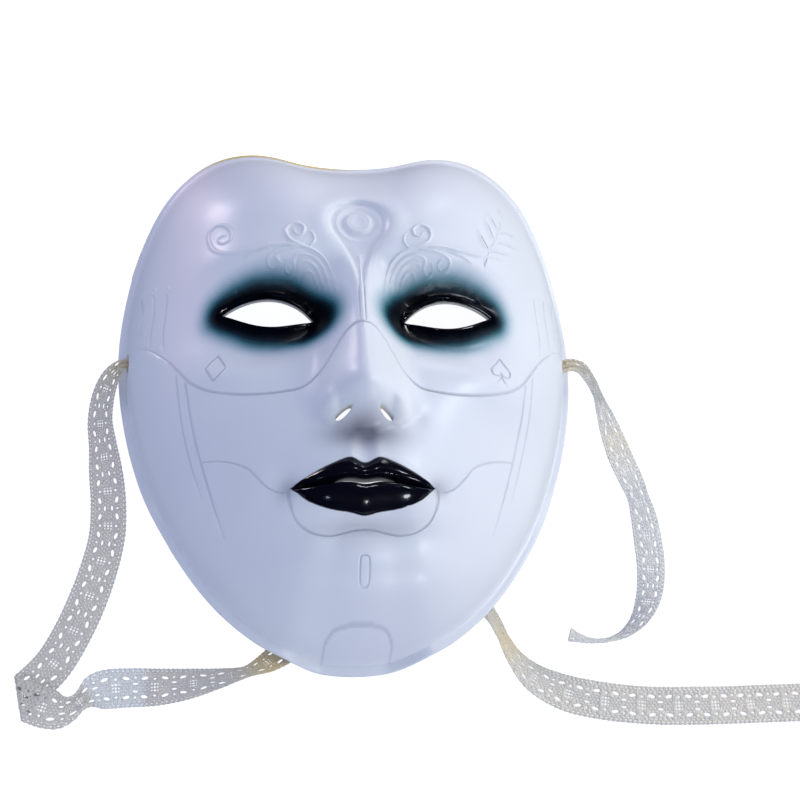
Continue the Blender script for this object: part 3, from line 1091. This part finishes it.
def paint_fields(ob):
    """Distances and masks that the lacquer reads, from where each point is."""
    me = ob.data
    n = len(me.vertices)
    co = np.empty(n * 3, np.float32)
    me.vertices.foreach_get("co", co)
    co = co.reshape(-1, 3).astype(float) / MM
    x, y, z = co[:, 0], co[:, 1], co[:, 2]
    ax = np.abs(x)
    h = height(x, y)
    outer = sstep(-1.7, -0.7, z - h)
    # eyes
    d = np.full(n, 60.0)
    sel = np.nonzero((ax < 75) & (np.abs(y - 16) < 40))[0]
    d[sel] = dist_poly(ax[sel], y[sel], EYE_MM)
    rr = np.hypot(ax - 33.9, y - 16.6) + 1e-6
    sn, cs = (y - 16.6) / rr, (ax - 33.9) / rr
    reach = 13.4 + 0.2 * sn + 2.2 * np.maximum(-cs, 0) ** 2 - 1.0 * np.maximum(cs, 0) ** 2
    core = 0.9 + 0.5 * np.maximum(sn, 0) + 2.6 * np.maximum(-cs, 0) ** 2 + 0.5 * np.maximum(cs, 0)
    shade = 1 - np.clip((d - core) / np.maximum(reach - core, 1), 0, 1)
    shade = np.where(d < core, 1.0, shade)
    lid = 1 - sstep(2.0, 3.6, d)
    pearl = np.exp(-0.5 * ((x + 63.5 + 0.0012 * (y - 60) ** 2) / 8.0) ** 2) * sstep(-35, 45, y)
    # lips
    xs = np.linspace(-MOUTH_W, MOUTH_W, 90)
    poly = np.concatenate([np.stack([xs, lip_low(xs)], 1), np.stack([xs[::-1], lip_up(xs[::-1])], 1)[1:-1]])
    poly = poly * (WIDTH_K, HEIGHT_K) + (0.0, Y_CENTRE)
    lip = np.full(n, 9.0)
    sel = np.nonzero((ax < 32) & (y > -70) & (y < -38))[0]
    lip[sel] = dist_poly(x[sel], y[sel], poly)
    smudge = 0.95 * np.exp(-0.5 * ((x / 8.5) ** 2 + ((y + 34.5) / 3.4) ** 2)) \
        + 0.35 * np.exp(-0.5 * (((ax - 27.5) / 2.6) ** 2 + ((y + 52.0) / 2.6) ** 2)) \
        + 0.30 * np.exp(-0.5 * ((x / 12.0) ** 2 + ((y + 66.5) / 2.2) ** 2))
    smudge = np.clip(smudge, 0, 0.85)
    up, dn = stroke_field(x, y)
    groove = np.clip(dn / 0.45, 0, 1)
    ang = np.arctan2((y - Y_CENTRE) / HEIGHT_K, x / WIDTH_K)
    inset = (radius(ang) - np.hypot(x / WIDTH_K, (y - Y_CENTRE) / HEIGHT_K)) * 0.95
    deg = np.degrees(ang)
    gold = (1 - sstep(0.7, 1.5, inset)) * (sstep(84, 98, deg) * (1 - sstep(112, 124, deg))
                                           + 0.15 * sstep(48, 58, deg) * (1 - sstep(66, 90, deg)))
    for name, val in (("gold", gold), ("outer", outer), ("shade", shade * (outer > 0.02)), ("lip_dist", np.where(z > 40, lip, 9.0)),
                      ("smudge", smudge * outer), ("groove", groove * outer),
                      ("lid", lid * outer), ("pearl", pearl * outer)):
        a = me.attributes.get(name) or me.attributes.new(name, "FLOAT", "POINT")
        a.data.foreach_set("value", np.ascontiguousarray(val, np.float32))


shell = build_shell()
for side in (-1, 1):
    cut = tie_hole_cutter(side)
    bpy.context.view_layer.objects.active = shell
    md = shell.modifiers.new("tie_hole", "BOOLEAN")
    md.operation = "DIFFERENCE"
    md.object = cut
    dg = bpy.context.evaluated_depsgraph_get()
    new = bpy.data.meshes.new_from_object(shell.evaluated_get(dg))
    shell.modifiers.remove(md)
    old = shell.data
    shell.data = new
    bpy.data.meshes.remove(old)
    me = cut.data
    bpy.data.objects.remove(cut)
    bpy.data.meshes.remove(me)
paint_fields(shell)
shell.data.materials.clear()
shell.data.materials.append(lacquer())
shell.data.shade_smooth()
shell.data.set_sharp_from_angle(angle=math.radians(62))
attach(shell, "root")
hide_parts("mask_shell")


# ---------------------------------------------------------------- lace
PERIOD = 14.5
SEAM = 5.2          # mm, where one repeat joins the next, counted from the middle of the inner pair of slots


def lace_holes():
    """Holes of one repeat: middle along and across, half sizes along and across, tilt in degrees."""
    P = PERIOD
    holes = []
    for sv in (-1, 1):
        for sp in (-1, 1):
            holes.append((sp * 0.235 * P, sv * 3.55, 1.32, 0.62, sp * sv * 14))
        holes.append((0.0, sv * 1.45, 1.05, 0.42, 0))
        holes.append((0.0, sv * 3.75, 0.42, 0.42, 0))
        holes.append((0.5 * P, sv * 3.30, 0.52, 0.46, 0))
        holes.append((0.5 * P, sv * 1.28, 0.46, 0.42, 0))
        for sp in (-1, 1):
            holes.append((0.5 * P + sp * 1.12, sv * 0.66 * 1.9, 0.34, 0.34, 0))
        for k in range(8):
            holes.append(((k + 0.5) * P / 8, sv * 6.35, 0.36, 0.24, 0))
            holes.append((k * P / 8, sv * 5.36, 0.24, 0.19, 0))
    big = list(holes)
    for j in range(-4, 5):
        for i in range(0, 20):
            s0 = (i + (0.5 if j % 2 else 0.0)) * P / 10
            if s0 >= P:
                continue
            v0 = j * 1.10
            clear = True
            for s, v, a, b, rot in big + [(0.5 * P, 0.0, 0.5, 0.5, 0), (0.5 * P + 1.12, 0.0, 0.4, 0.4, 0),
                                          (0.5 * P - 1.12, 0.0, 0.4, 0.4, 0)]:
                for wrap in (-P, 0, P):
                    ds, dv = s0 - s - wrap, v0 - v
                    c, w = math.cos(math.radians(rot)), math.sin(math.radians(rot))
                    e = ((c * ds + w * dv) / (a + 0.68)) ** 2 + ((-w * ds + c * dv) / (b + 0.68)) ** 2
                    clear &= e > 1
            if clear:
                holes.append((s0, v0, 0.22, 0.18, 0))
    holes.append((0.5 * P, 0.0, 0.44, 0.44, 0))
    holes.append((0.5 * P + 1.12, 0.0, 0.34, 0.34, 0))
    holes.append((0.5 * P - 1.12, 0.0, 0.34, 0.34, 0))
    out = []
    for s, v, a, b, rot in holes:
        s = (s - SEAM) % P
        if s - a < 0.12 or s + a > P - 0.12:
            continue
        n = 14 if a > 1 else (8 if a > 0.4 else 6)
        t = np.linspace(0, 2 * np.pi, n, endpoint=False)
        c, w = math.cos(math.radians(rot)), math.sin(math.radians(rot))
        ex = a * np.sign(np.cos(t)) * np.abs(np.cos(t)) ** 0.9
        ey = b * np.sin(t)
        out.append(np.stack([s + c * ex - w * ey, v + w * ex + c * ey], 1))
    return out


def lace_tile():
    """One repeat as a flat triangulation: points (along, across), their loops and faces."""
    P = PERIOD
    m = 32
    s = np.linspace(0, P, m + 1)
    edge = RIBBON_W / 2 - 0.16 + 0.16 * np.cos(2 * np.pi * s / (P / 8))
    seam_v = np.linspace(-edge[0], edge[0], 17)
    low = np.stack([s, -edge], 1)
    high = np.stack([s, edge], 1)
    border = np.concatenate([low, np.stack([np.full(15, P), seam_v[1:-1]], 1), high[::-1],
                             np.stack([np.zeros(15), seam_v[1:-1][::-1]], 1)])
    loops = [border] + lace_holes()
    pts, edges = [], []
    for lp in loops:
        a = len(pts)
        pts += [tuple(p) for p in lp]
        edges += [(a + i, a + (i + 1) % len(lp)) for i in range(len(lp))]
    n_loop = len(pts)
    cand = []
    step = 0.72
    for r, y in enumerate(np.arange(-RIBBON_W / 2, RIBBON_W / 2, step * 0.866)):
        for x in np.arange(0, P, step) + (step / 2 if r % 2 else 0):
            cand.append((x, y))
    c = np.array(cand)
    d = np.full(len(c), 9.0)
    for k, lp in enumerate(loops):
        dd = dist_poly(c[:, 0], c[:, 1], lp)
        d = np.minimum(d, -dd if k == 0 else dd)
    c = c[d > 0.30]
    d = d[d > 0.30]
    base = [Vector(p) for p in pts] + [Vector(p) for p in c]
    out, _, fs, _, _, _ = delaunay_2d_cdt(base, edges, [], 0, 1e-6)
    xy = np.array([tuple(v) for v in out])
    if len(xy) != len(base):
        raise RuntimeError("lace holes touch: %d, %d" % (len(xy), len(base)))
    cen = np.array([xy[list(f)].mean(0) for f in fs])
    good = dist_poly(cen[:, 0], cen[:, 1], border) < 0
    for lp in loops[1:]:
        good &= dist_poly(cen[:, 0], cen[:, 1], lp) > 0
    faces = [tuple(f) for f, g in zip(fs, good) if g]
    thick = np.full(len(xy), 0.12)
    thick[n_loop:] = 0.12 + 0.31 * np.minimum(d / 0.75, 1) ** 0.6
    on_seam = (xy[:, 0] < 1e-6) | (xy[:, 0] > P - 1e-6)
    inner_seam = on_seam & (np.abs(xy[:, 1]) < edge[0] - 0.3)
    thick[inner_seam] = 0.40
    rim = []
    a = 0
    for k, lp in enumerate(loops):
        n = len(lp)
        for i in range(n):
            u, v = a + i, a + (i + 1) % n
            if k == 0 and on_seam[u] and on_seam[v] and abs(xy[u, 0] - xy[v, 0]) < 1e-6:
                continue
            rim.append((u, v))
        a += n
    left = [i for i in range(len(xy)) if xy[i, 0] < 1e-6]
    right = [i for i in range(len(xy)) if xy[i, 0] > P - 1e-6]
    left.sort(key=lambda i: xy[i, 1])
    right.sort(key=lambda i: xy[i, 1])
    return xy, thick, faces, rim, left, right


TILE = lace_tile()


def lace_strip(length):
    """Whole strip in its flat state: along, across and through, with the repeats joined."""
    xy, thick, faces, rim, left, right = TILE
    reps = max(int(round(length / PERIOD)), 1)
    k = length / (reps * PERIOD)
    n = len(xy)
    S, V, T, F, R = [], [], [], [], []
    index = {}
    prev = None
    total = 0
    for r in range(reps):
        ids = np.empty(n, int)
        for i in range(n):
            ids[i] = -1
        if prev is not None:
            for a, b in zip(left, prev):
                ids[a] = b
        new = [i for i in range(n) if ids[i] < 0]
        ids[new] = np.arange(total, total + len(new))
        total += len(new)
        S.append((xy[new, 0] + r * PERIOD) * k)
        V.append(xy[new, 1])
        T.append(thick[new])
        F += [tuple(ids[list(f)]) for f in faces]
        R += [(ids[a], ids[b]) for a, b in rim]
        if r == 0:
            first = [ids[i] for i in left]
        prev = [ids[i] for i in right]
    R += [(prev[i], prev[i + 1]) for i in range(len(prev) - 1)]
    R += [(first[i + 1], first[i]) for i in range(len(first) - 1)]
    return np.concatenate(S), np.concatenate(V), np.concatenate(T), F, R, first, prev


def frames(rows):
    """Middle, across, up, width and pleat height at each sample of an open run."""
    c = rows[:, :3]
    tan = unit(smooth_rows(np.gradient(c, axis=0), 4))
    flat = unit(np.column_stack([-tan[:, 1], tan[:, 0], np.zeros(len(c))]))
    up = unit(np.cross(tan, flat))
    up *= np.sign(up[:, 2:3])
    a = np.radians(rows[:, 5:6])
    across = flat * np.cos(a) + up * np.sin(a)
    norm = unit(np.cross(tan, across))
    norm *= np.sign(norm[:, 2:3])
    return c, across, norm, rows[:, 3], rows[:, 4]


def run_map(rows, at, turned=False):
    c, across, norm, w, t = frames(rows)

    def put(s, v, n):
        def g(a):
            return np.stack([np.interp(s, at, a[:, k]) for k in range(a.shape[1])], 1)
        C, A, N = g(c), unit(g(across)), unit(g(norm))
        W, Tk = np.interp(s, at, w), np.interp(s, at, t)
        if turned:
            v, n = -v, -n
        ratio = W / RIBBON_W
        pleat = np.maximum(Tk - RIBBON_T, 0) * 0.5
        ph = 2 * np.pi * v / RIBBON_W
        fold = pleat * np.sin(2.6 * ph + 0.35 * np.sin(s * 0.5)) + 0.10 * (1 - ratio) * np.sin(5 * ph + s * 0.9)
        ripple = 0.16 * np.sin(s / 6.3 + v * 0.22) * np.minimum(ratio, 1)
        lift = 0.10 + 0.0 * s
        return C + A * (v * ratio)[:, None] + N * (n * (0.75 + 0.25 * ratio) + fold + ripple + lift)[:, None]
    return put


def fold_map(s, v, n):
    """The turned-over corner of the long ribbon; s counts from the fold point."""
    a, f = math.radians(FOLD_IN), math.radians(FOLD_LINE)
    d = np.array([math.cos(a), math.sin(a)])
    nrm = np.array([-d[1], d[0]])
    line = np.array([math.cos(f), math.sin(f)])
    m = np.array([line[1], -line[0]])
    m *= np.sign(m @ d)
    p0 = np.array(FOLD_POINT)
    r = FOLD_RADIUS
    q = p0 + s[:, None] * d + v[:, None] * nrm
    h = (q - p0) @ m
    z0 = 0.9
    k = np.clip(h / r, 0, math.pi)
    over = np.maximum(h - math.pi * r, 0)
    base = q - np.maximum(h, 0)[:, None] * m
    rr = r - n
    x = base + (rr * np.sin(k) - over)[:, None] * m
    z = z0 + r - rr * np.cos(k)
    return np.column_stack([x, z])


def long_map():
    rows1, at1 = spline_rows(LONG_TIE_DOWN, 0.4)
    rows3, at3 = spline_rows(LONG_TIE_ACROSS, 0.4)
    before, after = 6.4, 9.0
    L1, L2, L3 = at1[-1], before + after, at3[-1]
    start3 = fold_map(np.array([after]), np.array([0.0]), np.array([0.0]))[0]
    gap = np.linalg.norm(rows3[0, :3] - start3)
    L2b = gap
    put1, put3 = run_map(rows1, at1), run_map(rows3, at3, True)
    total = L1 + L2 + L2b + L3

    def put(s, v, n):
        out = np.zeros((len(s), 3))
        a = s <= L1
        b = (s > L1) & (s <= L1 + L2)
        c = (s > L1 + L2) & (s <= L1 + L2 + L2b)
        e = s > L1 + L2 + L2b
        if a.any():
            out[a] = put1(s[a], v[a], n[a])
        if b.any():
            out[b] = fold_map(s[b] - L1 - before, v[b], n[b])
        if c.any():
            t = ((s[c] - L1 - L2) / max(L2b, 1e-6))[:, None]
            z = np.zeros(c.sum())
            p = fold_map(z + after, v[c], n[c])
            q = put3(z, v[c], n[c])
            out[c] = p * (1 - t) + q * t
        if e.any():
            out[e] = put3(s[e] - L1 - L2 - L2b, v[e], n[e])
        # settle the joints between the runs
        return out
    return put, total


def build_lace(name, put, length, material, warm_at, white_at=()):
    S, V, T, F, R, first, last = lace_strip(length)
    n = len(S)
    fray = 0.35 * np.sin(V * 5.1) + 0.25 * np.sin(V * 11.7 + 1.0)
    S = S.copy()
    S[last] += fray[last] * 0.5
    top = put(np.clip(S, 0, length + 1), V, T)
    bot = put(np.clip(S, 0, length + 1), V, -T)
    P = np.concatenate([top, bot]) + (0.0, Y_CENTRE, 0.0)
    P[:, 2] = np.maximum(P[:, 2], 0.06)
    faces = F + [tuple(i + n for i in f[::-1]) for f in F] + [(a, a + n, b + n, b) for a, b in R]
    me = bpy.data.meshes.new(name)
    me.from_pydata([tuple(p) for p in P * MM], [], faces)
    me.update()
    bm = bmesh.new()
    bm.from_mesh(me)
    bmesh.ops.recalc_face_normals(bm, faces=bm.faces)
    bad = sum(len(e.link_faces) != 2 for e in bm.edges)
    bm.to_mesh(me)
    print(name, len(bm.verts), len(bm.faces), "open edges", bad)
    bm.free()
    uv = me.uv_layers.new(name="lace")
    li = np.empty(len(me.loops), np.int32)
    me.loops.foreach_get("vertex_index", li)
    s2, v2 = np.concatenate([S, S]), np.concatenate([V, V])
    uv.data.foreach_set("uv", np.stack([v2[li], s2[li]], 1).astype(np.float32).ravel())
    warm = 0.8 * np.exp(-0.5 * (s2 / 9.0) ** 2)
    white = np.zeros(len(s2))
    for a, b in white_at:
        white = np.maximum(white, sstep(a, a + 2, s2) * (1 - sstep(b - 3, b + 3, s2)))
    wa = me.attributes.new("white", "FLOAT", "POINT")
    wa.data.foreach_set("value", white.astype(np.float32))
    for c, wd, k in warm_at:
        warm = np.maximum(warm, k * np.exp(-0.5 * ((s2 - c) / wd) ** 2))
    w = me.attributes.new("warm", "FLOAT", "POINT")
    w.data.foreach_set("value", warm.astype(np.float32))
    me.materials.append(material)
    me.shade_smooth()
    ob = bpy.data.objects.new(name, me)
    bpy.context.scene.collection.objects.link(ob)
    return ob


def path_of(put, length, step=4.0):
    s = np.linspace(0, length, int(length / step) + 1)
    p = put(s, np.zeros_like(s), np.zeros_like(s)) + (0.0, Y_CENTRE, 0.0)
    return [tuple(q) for q in p * MM]


# ---------------------------------------------------------------- knots
def tube(path, closed, ra, rb, n=20, lobes=7, amp=0.10):
    """Bunched ribbon as a ribbed tube along a path; returns points, faces, and along/across values."""
    p = np.asarray(path, float)
    m = len(p)
    if closed:
        tan = unit(np.roll(p, -1, 0) - np.roll(p, 1, 0))
    else:
        tan = unit(np.gradient(p, axis=0))
    nrm = np.zeros_like(p)
    a = np.cross(tan[0], (0.3, 0.1, 1.0))
    nrm[0] = unit(a)
    for i in range(1, m):
        v = nrm[i - 1] - tan[i] * (nrm[i - 1] @ tan[i])
        nrm[i] = unit(v)
    if closed:
        v = nrm[-1] - tan[0] * (nrm[-1] @ tan[0])
        v = unit(v)
        ang = math.atan2(np.cross(v, nrm[0]) @ tan[0], v @ nrm[0])
        for i in range(m):
            t = ang * i / m
            b = np.cross(tan[i], nrm[i])
            nrm[i] = nrm[i] * math.cos(t) + b * math.sin(t)
    bi = np.cross(tan, nrm)
    s = np.concatenate([[0], np.cumsum(np.linalg.norm(np.diff(p, axis=0), axis=1))])
    verts, uv = [], []
    for i in range(m):
        k = 1.0
        if not closed:
            k = min(1.0, 0.55 + 0.45 * min(s[i], s[-1] - s[i]) / 0.8)
        for j in range(n):
            t = 2 * math.pi * j / n
            r = 1 + amp * math.cos(lobes * t + 0.6 * math.sin(s[i] * 0.8))
            verts.append(p[i] + k * r * (ra * math.cos(t) * nrm[i] + rb * math.sin(t) * bi[i]))
            uv.append((j / n * 9.0, s[i]))
    faces = []
    for i in range(m if closed else m - 1):
        a, b = i * n, ((i + 1) % m) * n
        faces += [(a + j, a + (j + 1) % n, b + (j + 1) % n, b + j) for j in range(n)]
    if not closed:
        faces += [tuple(range(n))[::-1], tuple(range((m - 1) * n, m * n))]
    return np.array(verts), faces, uv


def build_knot(name, side, material):
    """Overhand knot of bunched ribbon inside the temple wall, with its short tail."""
    cx = 81.0
    t = np.linspace(0, 2 * np.pi, 120, endpoint=False)
    x = np.sin(t) + 2 * np.sin(2 * t)
    y = np.cos(t) - 2 * np.cos(2 * t)
    z = -np.sin(3 * t)
    k = 1.12
    knot = np.stack([cx + z * 1.75, TIE_HOLE_Y + Y_CENTRE + x * k, TIE_HOLE_Z + y * k * 0.92], 1)
    lead = spline_rows([(86.4, TIE_HOLE_Y + Y_CENTRE, TIE_HOLE_Z), (84.6, TIE_HOLE_Y + Y_CENTRE, TIE_HOLE_Z),
                        (82.6, TIE_HOLE_Y + Y_CENTRE + 0.8, TIE_HOLE_Z - 0.4),
                        (81.0, TIE_HOLE_Y + Y_CENTRE + 2.2, TIE_HOLE_Z - 1.0)], 0.4)[0]
    y0 = TIE_HOLE_Y + Y_CENTRE
    tail = spline_rows([(81.0, y0 - 2.4, TIE_HOLE_Z - 1.0), (79.0, y0 - 4.6, TIE_HOLE_Z - 2.2),
                        (77.0, y0 - 7.4, TIE_HOLE_Z - 4.4), (75.6, y0 - 10.4, TIE_HOLE_Z - 7.2)], 0.4)[0]
    V, F, U = [], [], []
    for path, closed, ra, rb in ((knot, True, 1.75, 1.15), (lead, False, 1.5, 1.3), (tail, False, 2.4, 0.7)):
        v, f, u = tube(path, closed, ra, rb)
        o = len(V)
        V += [tuple(q) for q in v]
        F += [tuple(i + o for i in g) for g in f]
        U += u
    V = np.array(V) * (side, 1, 1)
    V[:, 2] = np.maximum(V[:, 2], 0.3)
    me = bpy.data.meshes.new(name)
    me.from_pydata([tuple(v) for v in V * MM], [], F)
    me.update()
    bm = bmesh.new()
    bm.from_mesh(me)
    bmesh.ops.recalc_face_normals(bm, faces=bm.faces)
    bm.to_mesh(me)
    bm.free()
    uv = me.uv_layers.new(name="lace")
    li = np.empty(len(me.loops), np.int32)
    me.loops.foreach_get("vertex_index", li)
    uv.data.foreach_set("uv", np.array(U)[li].astype(np.float32).ravel())
    w = me.attributes.new("warm", "FLOAT", "POINT")
    w.data.foreach_set("value", np.full(len(V), 0.35, np.float32))
    w = me.attributes.new("white", "FLOAT", "POINT")
    w.data.foreach_set("value", np.zeros(len(V), np.float32))
    me.materials.append(material)
    me.shade_smooth()
    ob = bpy.data.objects.new(name, me)
    bpy.context.scene.collection.objects.link(ob)
    return ob


# ---------------------------------------------------------------- gilt cord
def build_gilt():
    """Two-strand twisted cord behind the top edge."""
    phi = np.radians(np.linspace(36, 144, 900))
    r = radius(phi)
    c = np.column_stack([r * np.cos(phi) * WIDTH_K, r * np.sin(phi) * HEIGHT_K + Y_CENTRE, rim_z(phi) * DEPTH_K])
    s = np.concatenate([[0], np.cumsum(np.linalg.norm(np.diff(c, axis=0), axis=1))])
    at = np.arange(0, s[-1], 0.22)
    c = np.stack([np.interp(at, s, c[:, k]) for k in range(3)], 1)
    tan = unit(np.gradient(c, axis=0))
    out = unit(np.column_stack([tan[:, 1], -tan[:, 0], np.zeros(len(c))]))
    out *= np.sign((out * (c - (0, Y_CENTRE, 0))).sum(1))[:, None]
    up = unit(np.cross(out, tan))
    up *= np.sign(up[:, 2])[:, None]
    rad = GILT_D / 2
    c = c + out * 0.10 - up * (rad + 0.42)
    n, V, F = 8, [], []
    for strand in (0, 1):
        o = len(V)
        a = 2 * np.pi * at / 2.6 + strand * np.pi
        q = c + (out * np.cos(a)[:, None] + up * np.sin(a)[:, None]) * rad * 0.46
        tq = unit(np.gradient(q, axis=0))
        e1 = unit(np.cross(tq, up))
        e2 = np.cross(tq, e1)
        for i in range(len(q)):
            for j in range(n):
                t = 2 * math.pi * j / n
                V.append(tuple(q[i] + rad * 0.56 * (math.cos(t) * e1[i] + math.sin(t) * e2[i])))
        m = len(q)
        for i in range(m - 1):
            F += [(o + i * n + j, o + i * n + (j + 1) % n, o + (i + 1) * n + (j + 1) % n, o + (i + 1) * n + j)
                  for j in range(n)]
        F += [tuple(o + j for j in range(n))[::-1], tuple(o + (m - 1) * n + j for j in range(n))]
    me = bpy.data.meshes.new("gilt_cord")
    me.from_pydata([tuple(np.array(v) * MM) for v in V], [], F)
    me.update()
    bm = bmesh.new()
    bm.from_mesh(me)
    bmesh.ops.recalc_face_normals(bm, faces=bm.faces)
    bm.to_mesh(me)
    bm.free()
    me.materials.append(gilt_mat())
    me.shade_smooth()
    ob = bpy.data.objects.new("gilt_cord", me)
    bpy.context.scene.collection.objects.link(ob)
    return ob


LACE_LEFT = lace_mat("cream_lace_left", (0.88, 0.80, 0.69), (0.94, 0.865, 0.74))
LACE_RIGHT = lace_mat("cream_lace_right", (0.92, 0.88, 0.81), (0.95, 0.915, 0.85))

put_long, LONG_LEN = long_map()
rows_s, at_s = spline_rows(SHORT_TIE, 0.4)
put_short, SHORT_LEN = run_map(rows_s, at_s), at_s[-1]
print("ribbon lengths", round(LONG_LEN, 1), round(SHORT_LEN, 1))

_s = np.linspace(0, LONG_LEN, 2400)
_p = put_long(_s, np.zeros_like(_s), np.zeros_like(_s))
_after = _s > 0.33 * LONG_LEN


def reach_x(x):
    """Length along the long ribbon at which its second run reaches x."""
    return float(_s[_after][np.argmin(np.abs(_p[_after][:, 0] - x) + np.abs(_p[_after][:, 1] + 108) * 0.2)])


S_PINCH, S_WHITE_END, S_JAW = reach_x(-100.5), reach_x(-79.0), reach_x(-34.0)
left_knot = build_knot("left_ribbon_knot", -1, LACE_LEFT)
right_knot = build_knot("right_ribbon_knot", 1, LACE_RIGHT)
left_lace = build_lace("left_lace_ribbon", put_long, LONG_LEN, LACE_LEFT, [(S_JAW, 6.0, 1.3), (S_JAW + 113, 5.0, 0.7)],
                       [(S_PINCH, S_WHITE_END)])
right_lace = build_lace("right_lace_ribbon", put_short, SHORT_LEN, LACE_RIGHT, [(46.0, 6.0, 0.35)])
for ob, nd in ((left_knot, "left_knot"), (right_knot, "right_knot"), (left_lace, "left_lace_tie"),
               (right_lace, "right_lace_tie")):
    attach(ob, "root")
    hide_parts(nd)
path_of(put_long, LONG_LEN)
path_of(put_short, SHORT_LEN)

gilt = build_gilt()
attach(gilt, "root")
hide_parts("gilt_edging")


# ---------------------------------------------------------------- floor and light
def floor():
    """Round pale floor that sweeps up into a pale wall far behind."""
    prof = [(0.0, 0.0), (0.6, 0.0), (1.6, 0.0)]
    prof += [(1.6 + 1.2 * math.sin(a), 1.2 - 1.2 * math.cos(a)) for a in np.linspace(0.12, np.pi / 2, 12)]
    prof += [(2.8, 2.2), (2.8, 3.4)]
    n = 96
    verts = [(0.0, 0.0, 0.0)]
    for r, z in prof[1:]:
        verts += [(r * math.cos(a), r * math.sin(a), z) for a in np.linspace(0, 2 * np.pi, n, endpoint=False)]
    faces = [(0, 1 + k, 1 + (k + 1) % n) for k in range(n)]
    for j in range(len(prof) - 2):
        a, b = 1 + j * n, 1 + (j + 1) * n
        faces += [(a + k, b + k, b + (k + 1) % n, a + (k + 1) % n) for k in range(n)]
    me = bpy.data.meshes.new("floor")
    me.from_pydata(verts, [], faces)
    me.shade_smooth()
    m, nt, b = mat("pale_floor")
    b.inputs["Base Color"].default_value = (0.55, 0.55, 0.56, 1)
    b.inputs["Roughness"].default_value = 0.9
    b.inputs["Specular IOR Level"].default_value = 0.1
    b.inputs["Emission Color"].default_value = (1.0, 1.0, 1.0, 1)
    b.inputs["Emission Strength"].default_value = 0.84
    me.materials.append(m)
    ob = bpy.data.objects.new("floor", me)
    bpy.context.scene.collection.objects.link(ob)
    ob.visible_diffuse = False
    ob.visible_glossy = False
    ob.visible_shadow = False


def area(name, pos, target, size, power, color, size_y=None):
    li = bpy.data.lights.new(name, "AREA")
    li.energy = power
    li.color = color
    li.size = size
    if size_y:
        li.shape = "RECTANGLE"
        li.size_y = size_y
    ob = bpy.data.objects.new(name, li)
    d = Vector(target) - Vector(pos)
    ob.location = pos
    ob.rotation_euler = d.to_track_quat("-Z", "Y").to_euler()
    bpy.context.scene.collection.objects.link(ob)
    return ob


floor()
key = area("key", (0.90, 0.44, 0.33), (0.0, 0.0, 0.03), 0.55, 5.7, (1.0, 1.0, 0.88))
right_front = area("right_front", (0.62, -0.10, 0.75), (0.0, 0.0, 0.03), 0.60, 1.25, (1.0, 0.99, 0.76))
low = area("low_right", (0.42, -0.80, 0.22), (0.0, 0.0, 0.03), 0.40, 1.7, (1.0, 0.93, 0.80))
low_left = area("low_left", (-0.50, -0.70, 0.60), (-0.06, -0.10, 0.0), 0.40, 0.35, (1.0, 0.88, 0.66))
left_up = area("left_up", (-0.75, 0.45, 0.50), (0.0, 0.0, 0.03), 0.40, 0.88, (1.0, 0.82, 0.82))
top = area("top", (0.05, 0.95, 0.30), (0.0, 0.0, 0.03), 0.50, 1.1, (1.0, 0.66, 0.62))
gloss = (area("gloss_right", (0.62, 0.00, 0.70), (0.0, -0.03, 0.05), 0.24, 4.0, (0.86, 0.93, 1.0)),
         area("gloss_middle", (0.10, -0.04, 0.95), (0.0, -0.05, 0.06), 0.07, 0.8, (0.90, 0.95, 1.0)),
         area("gloss_low_right", (0.47, -0.80, 0.10), (0.0, -0.05, 0.06), 0.15, 1.8, (0.86, 0.93, 1.0)),
         area("gloss_low", (0.10, -0.92, 0.12), (0.0, -0.05, 0.06), 0.06, 0.5, (0.90, 0.95, 1.0)),
         area("gloss_low_left", (-0.24, -0.88, 0.12), (0.0, -0.05, 0.06), 0.06, 0.16, (0.72, 0.86, 1.0)),
         area("gloss_top", (0.35, 0.80, 0.45), (0.0, 0.0, 0.05), 0.16, 1.4, (0.90, 0.95, 1.0), 0.5),
         area("gloss_streak", (-0.66, 0.74, 0.04), (-0.062, 0.05, 0.06), 0.16, 3.0, (1.0, 0.86, 0.90), 0.3))
for ob in (key, right_front, low, low_left, left_up, top):
    ob.visible_glossy = False
for ob in gloss:
    ob.visible_diffuse = False
world = bpy.data.worlds.new("studio")
world.use_nodes = True
bg = world.node_tree.nodes["Background"]
bg.inputs["Color"].default_value = (0.372, 0.455, 0.66, 1.0)
bg.inputs["Strength"].default_value = 1.0
world.cycles_visibility.glossy = False
bpy.context.scene.world = world
vs = bpy.context.scene.view_settings
vs.view_transform = "Standard"
vs.look = "None"
vs.exposure = 0.0
vs.gamma = 1.0
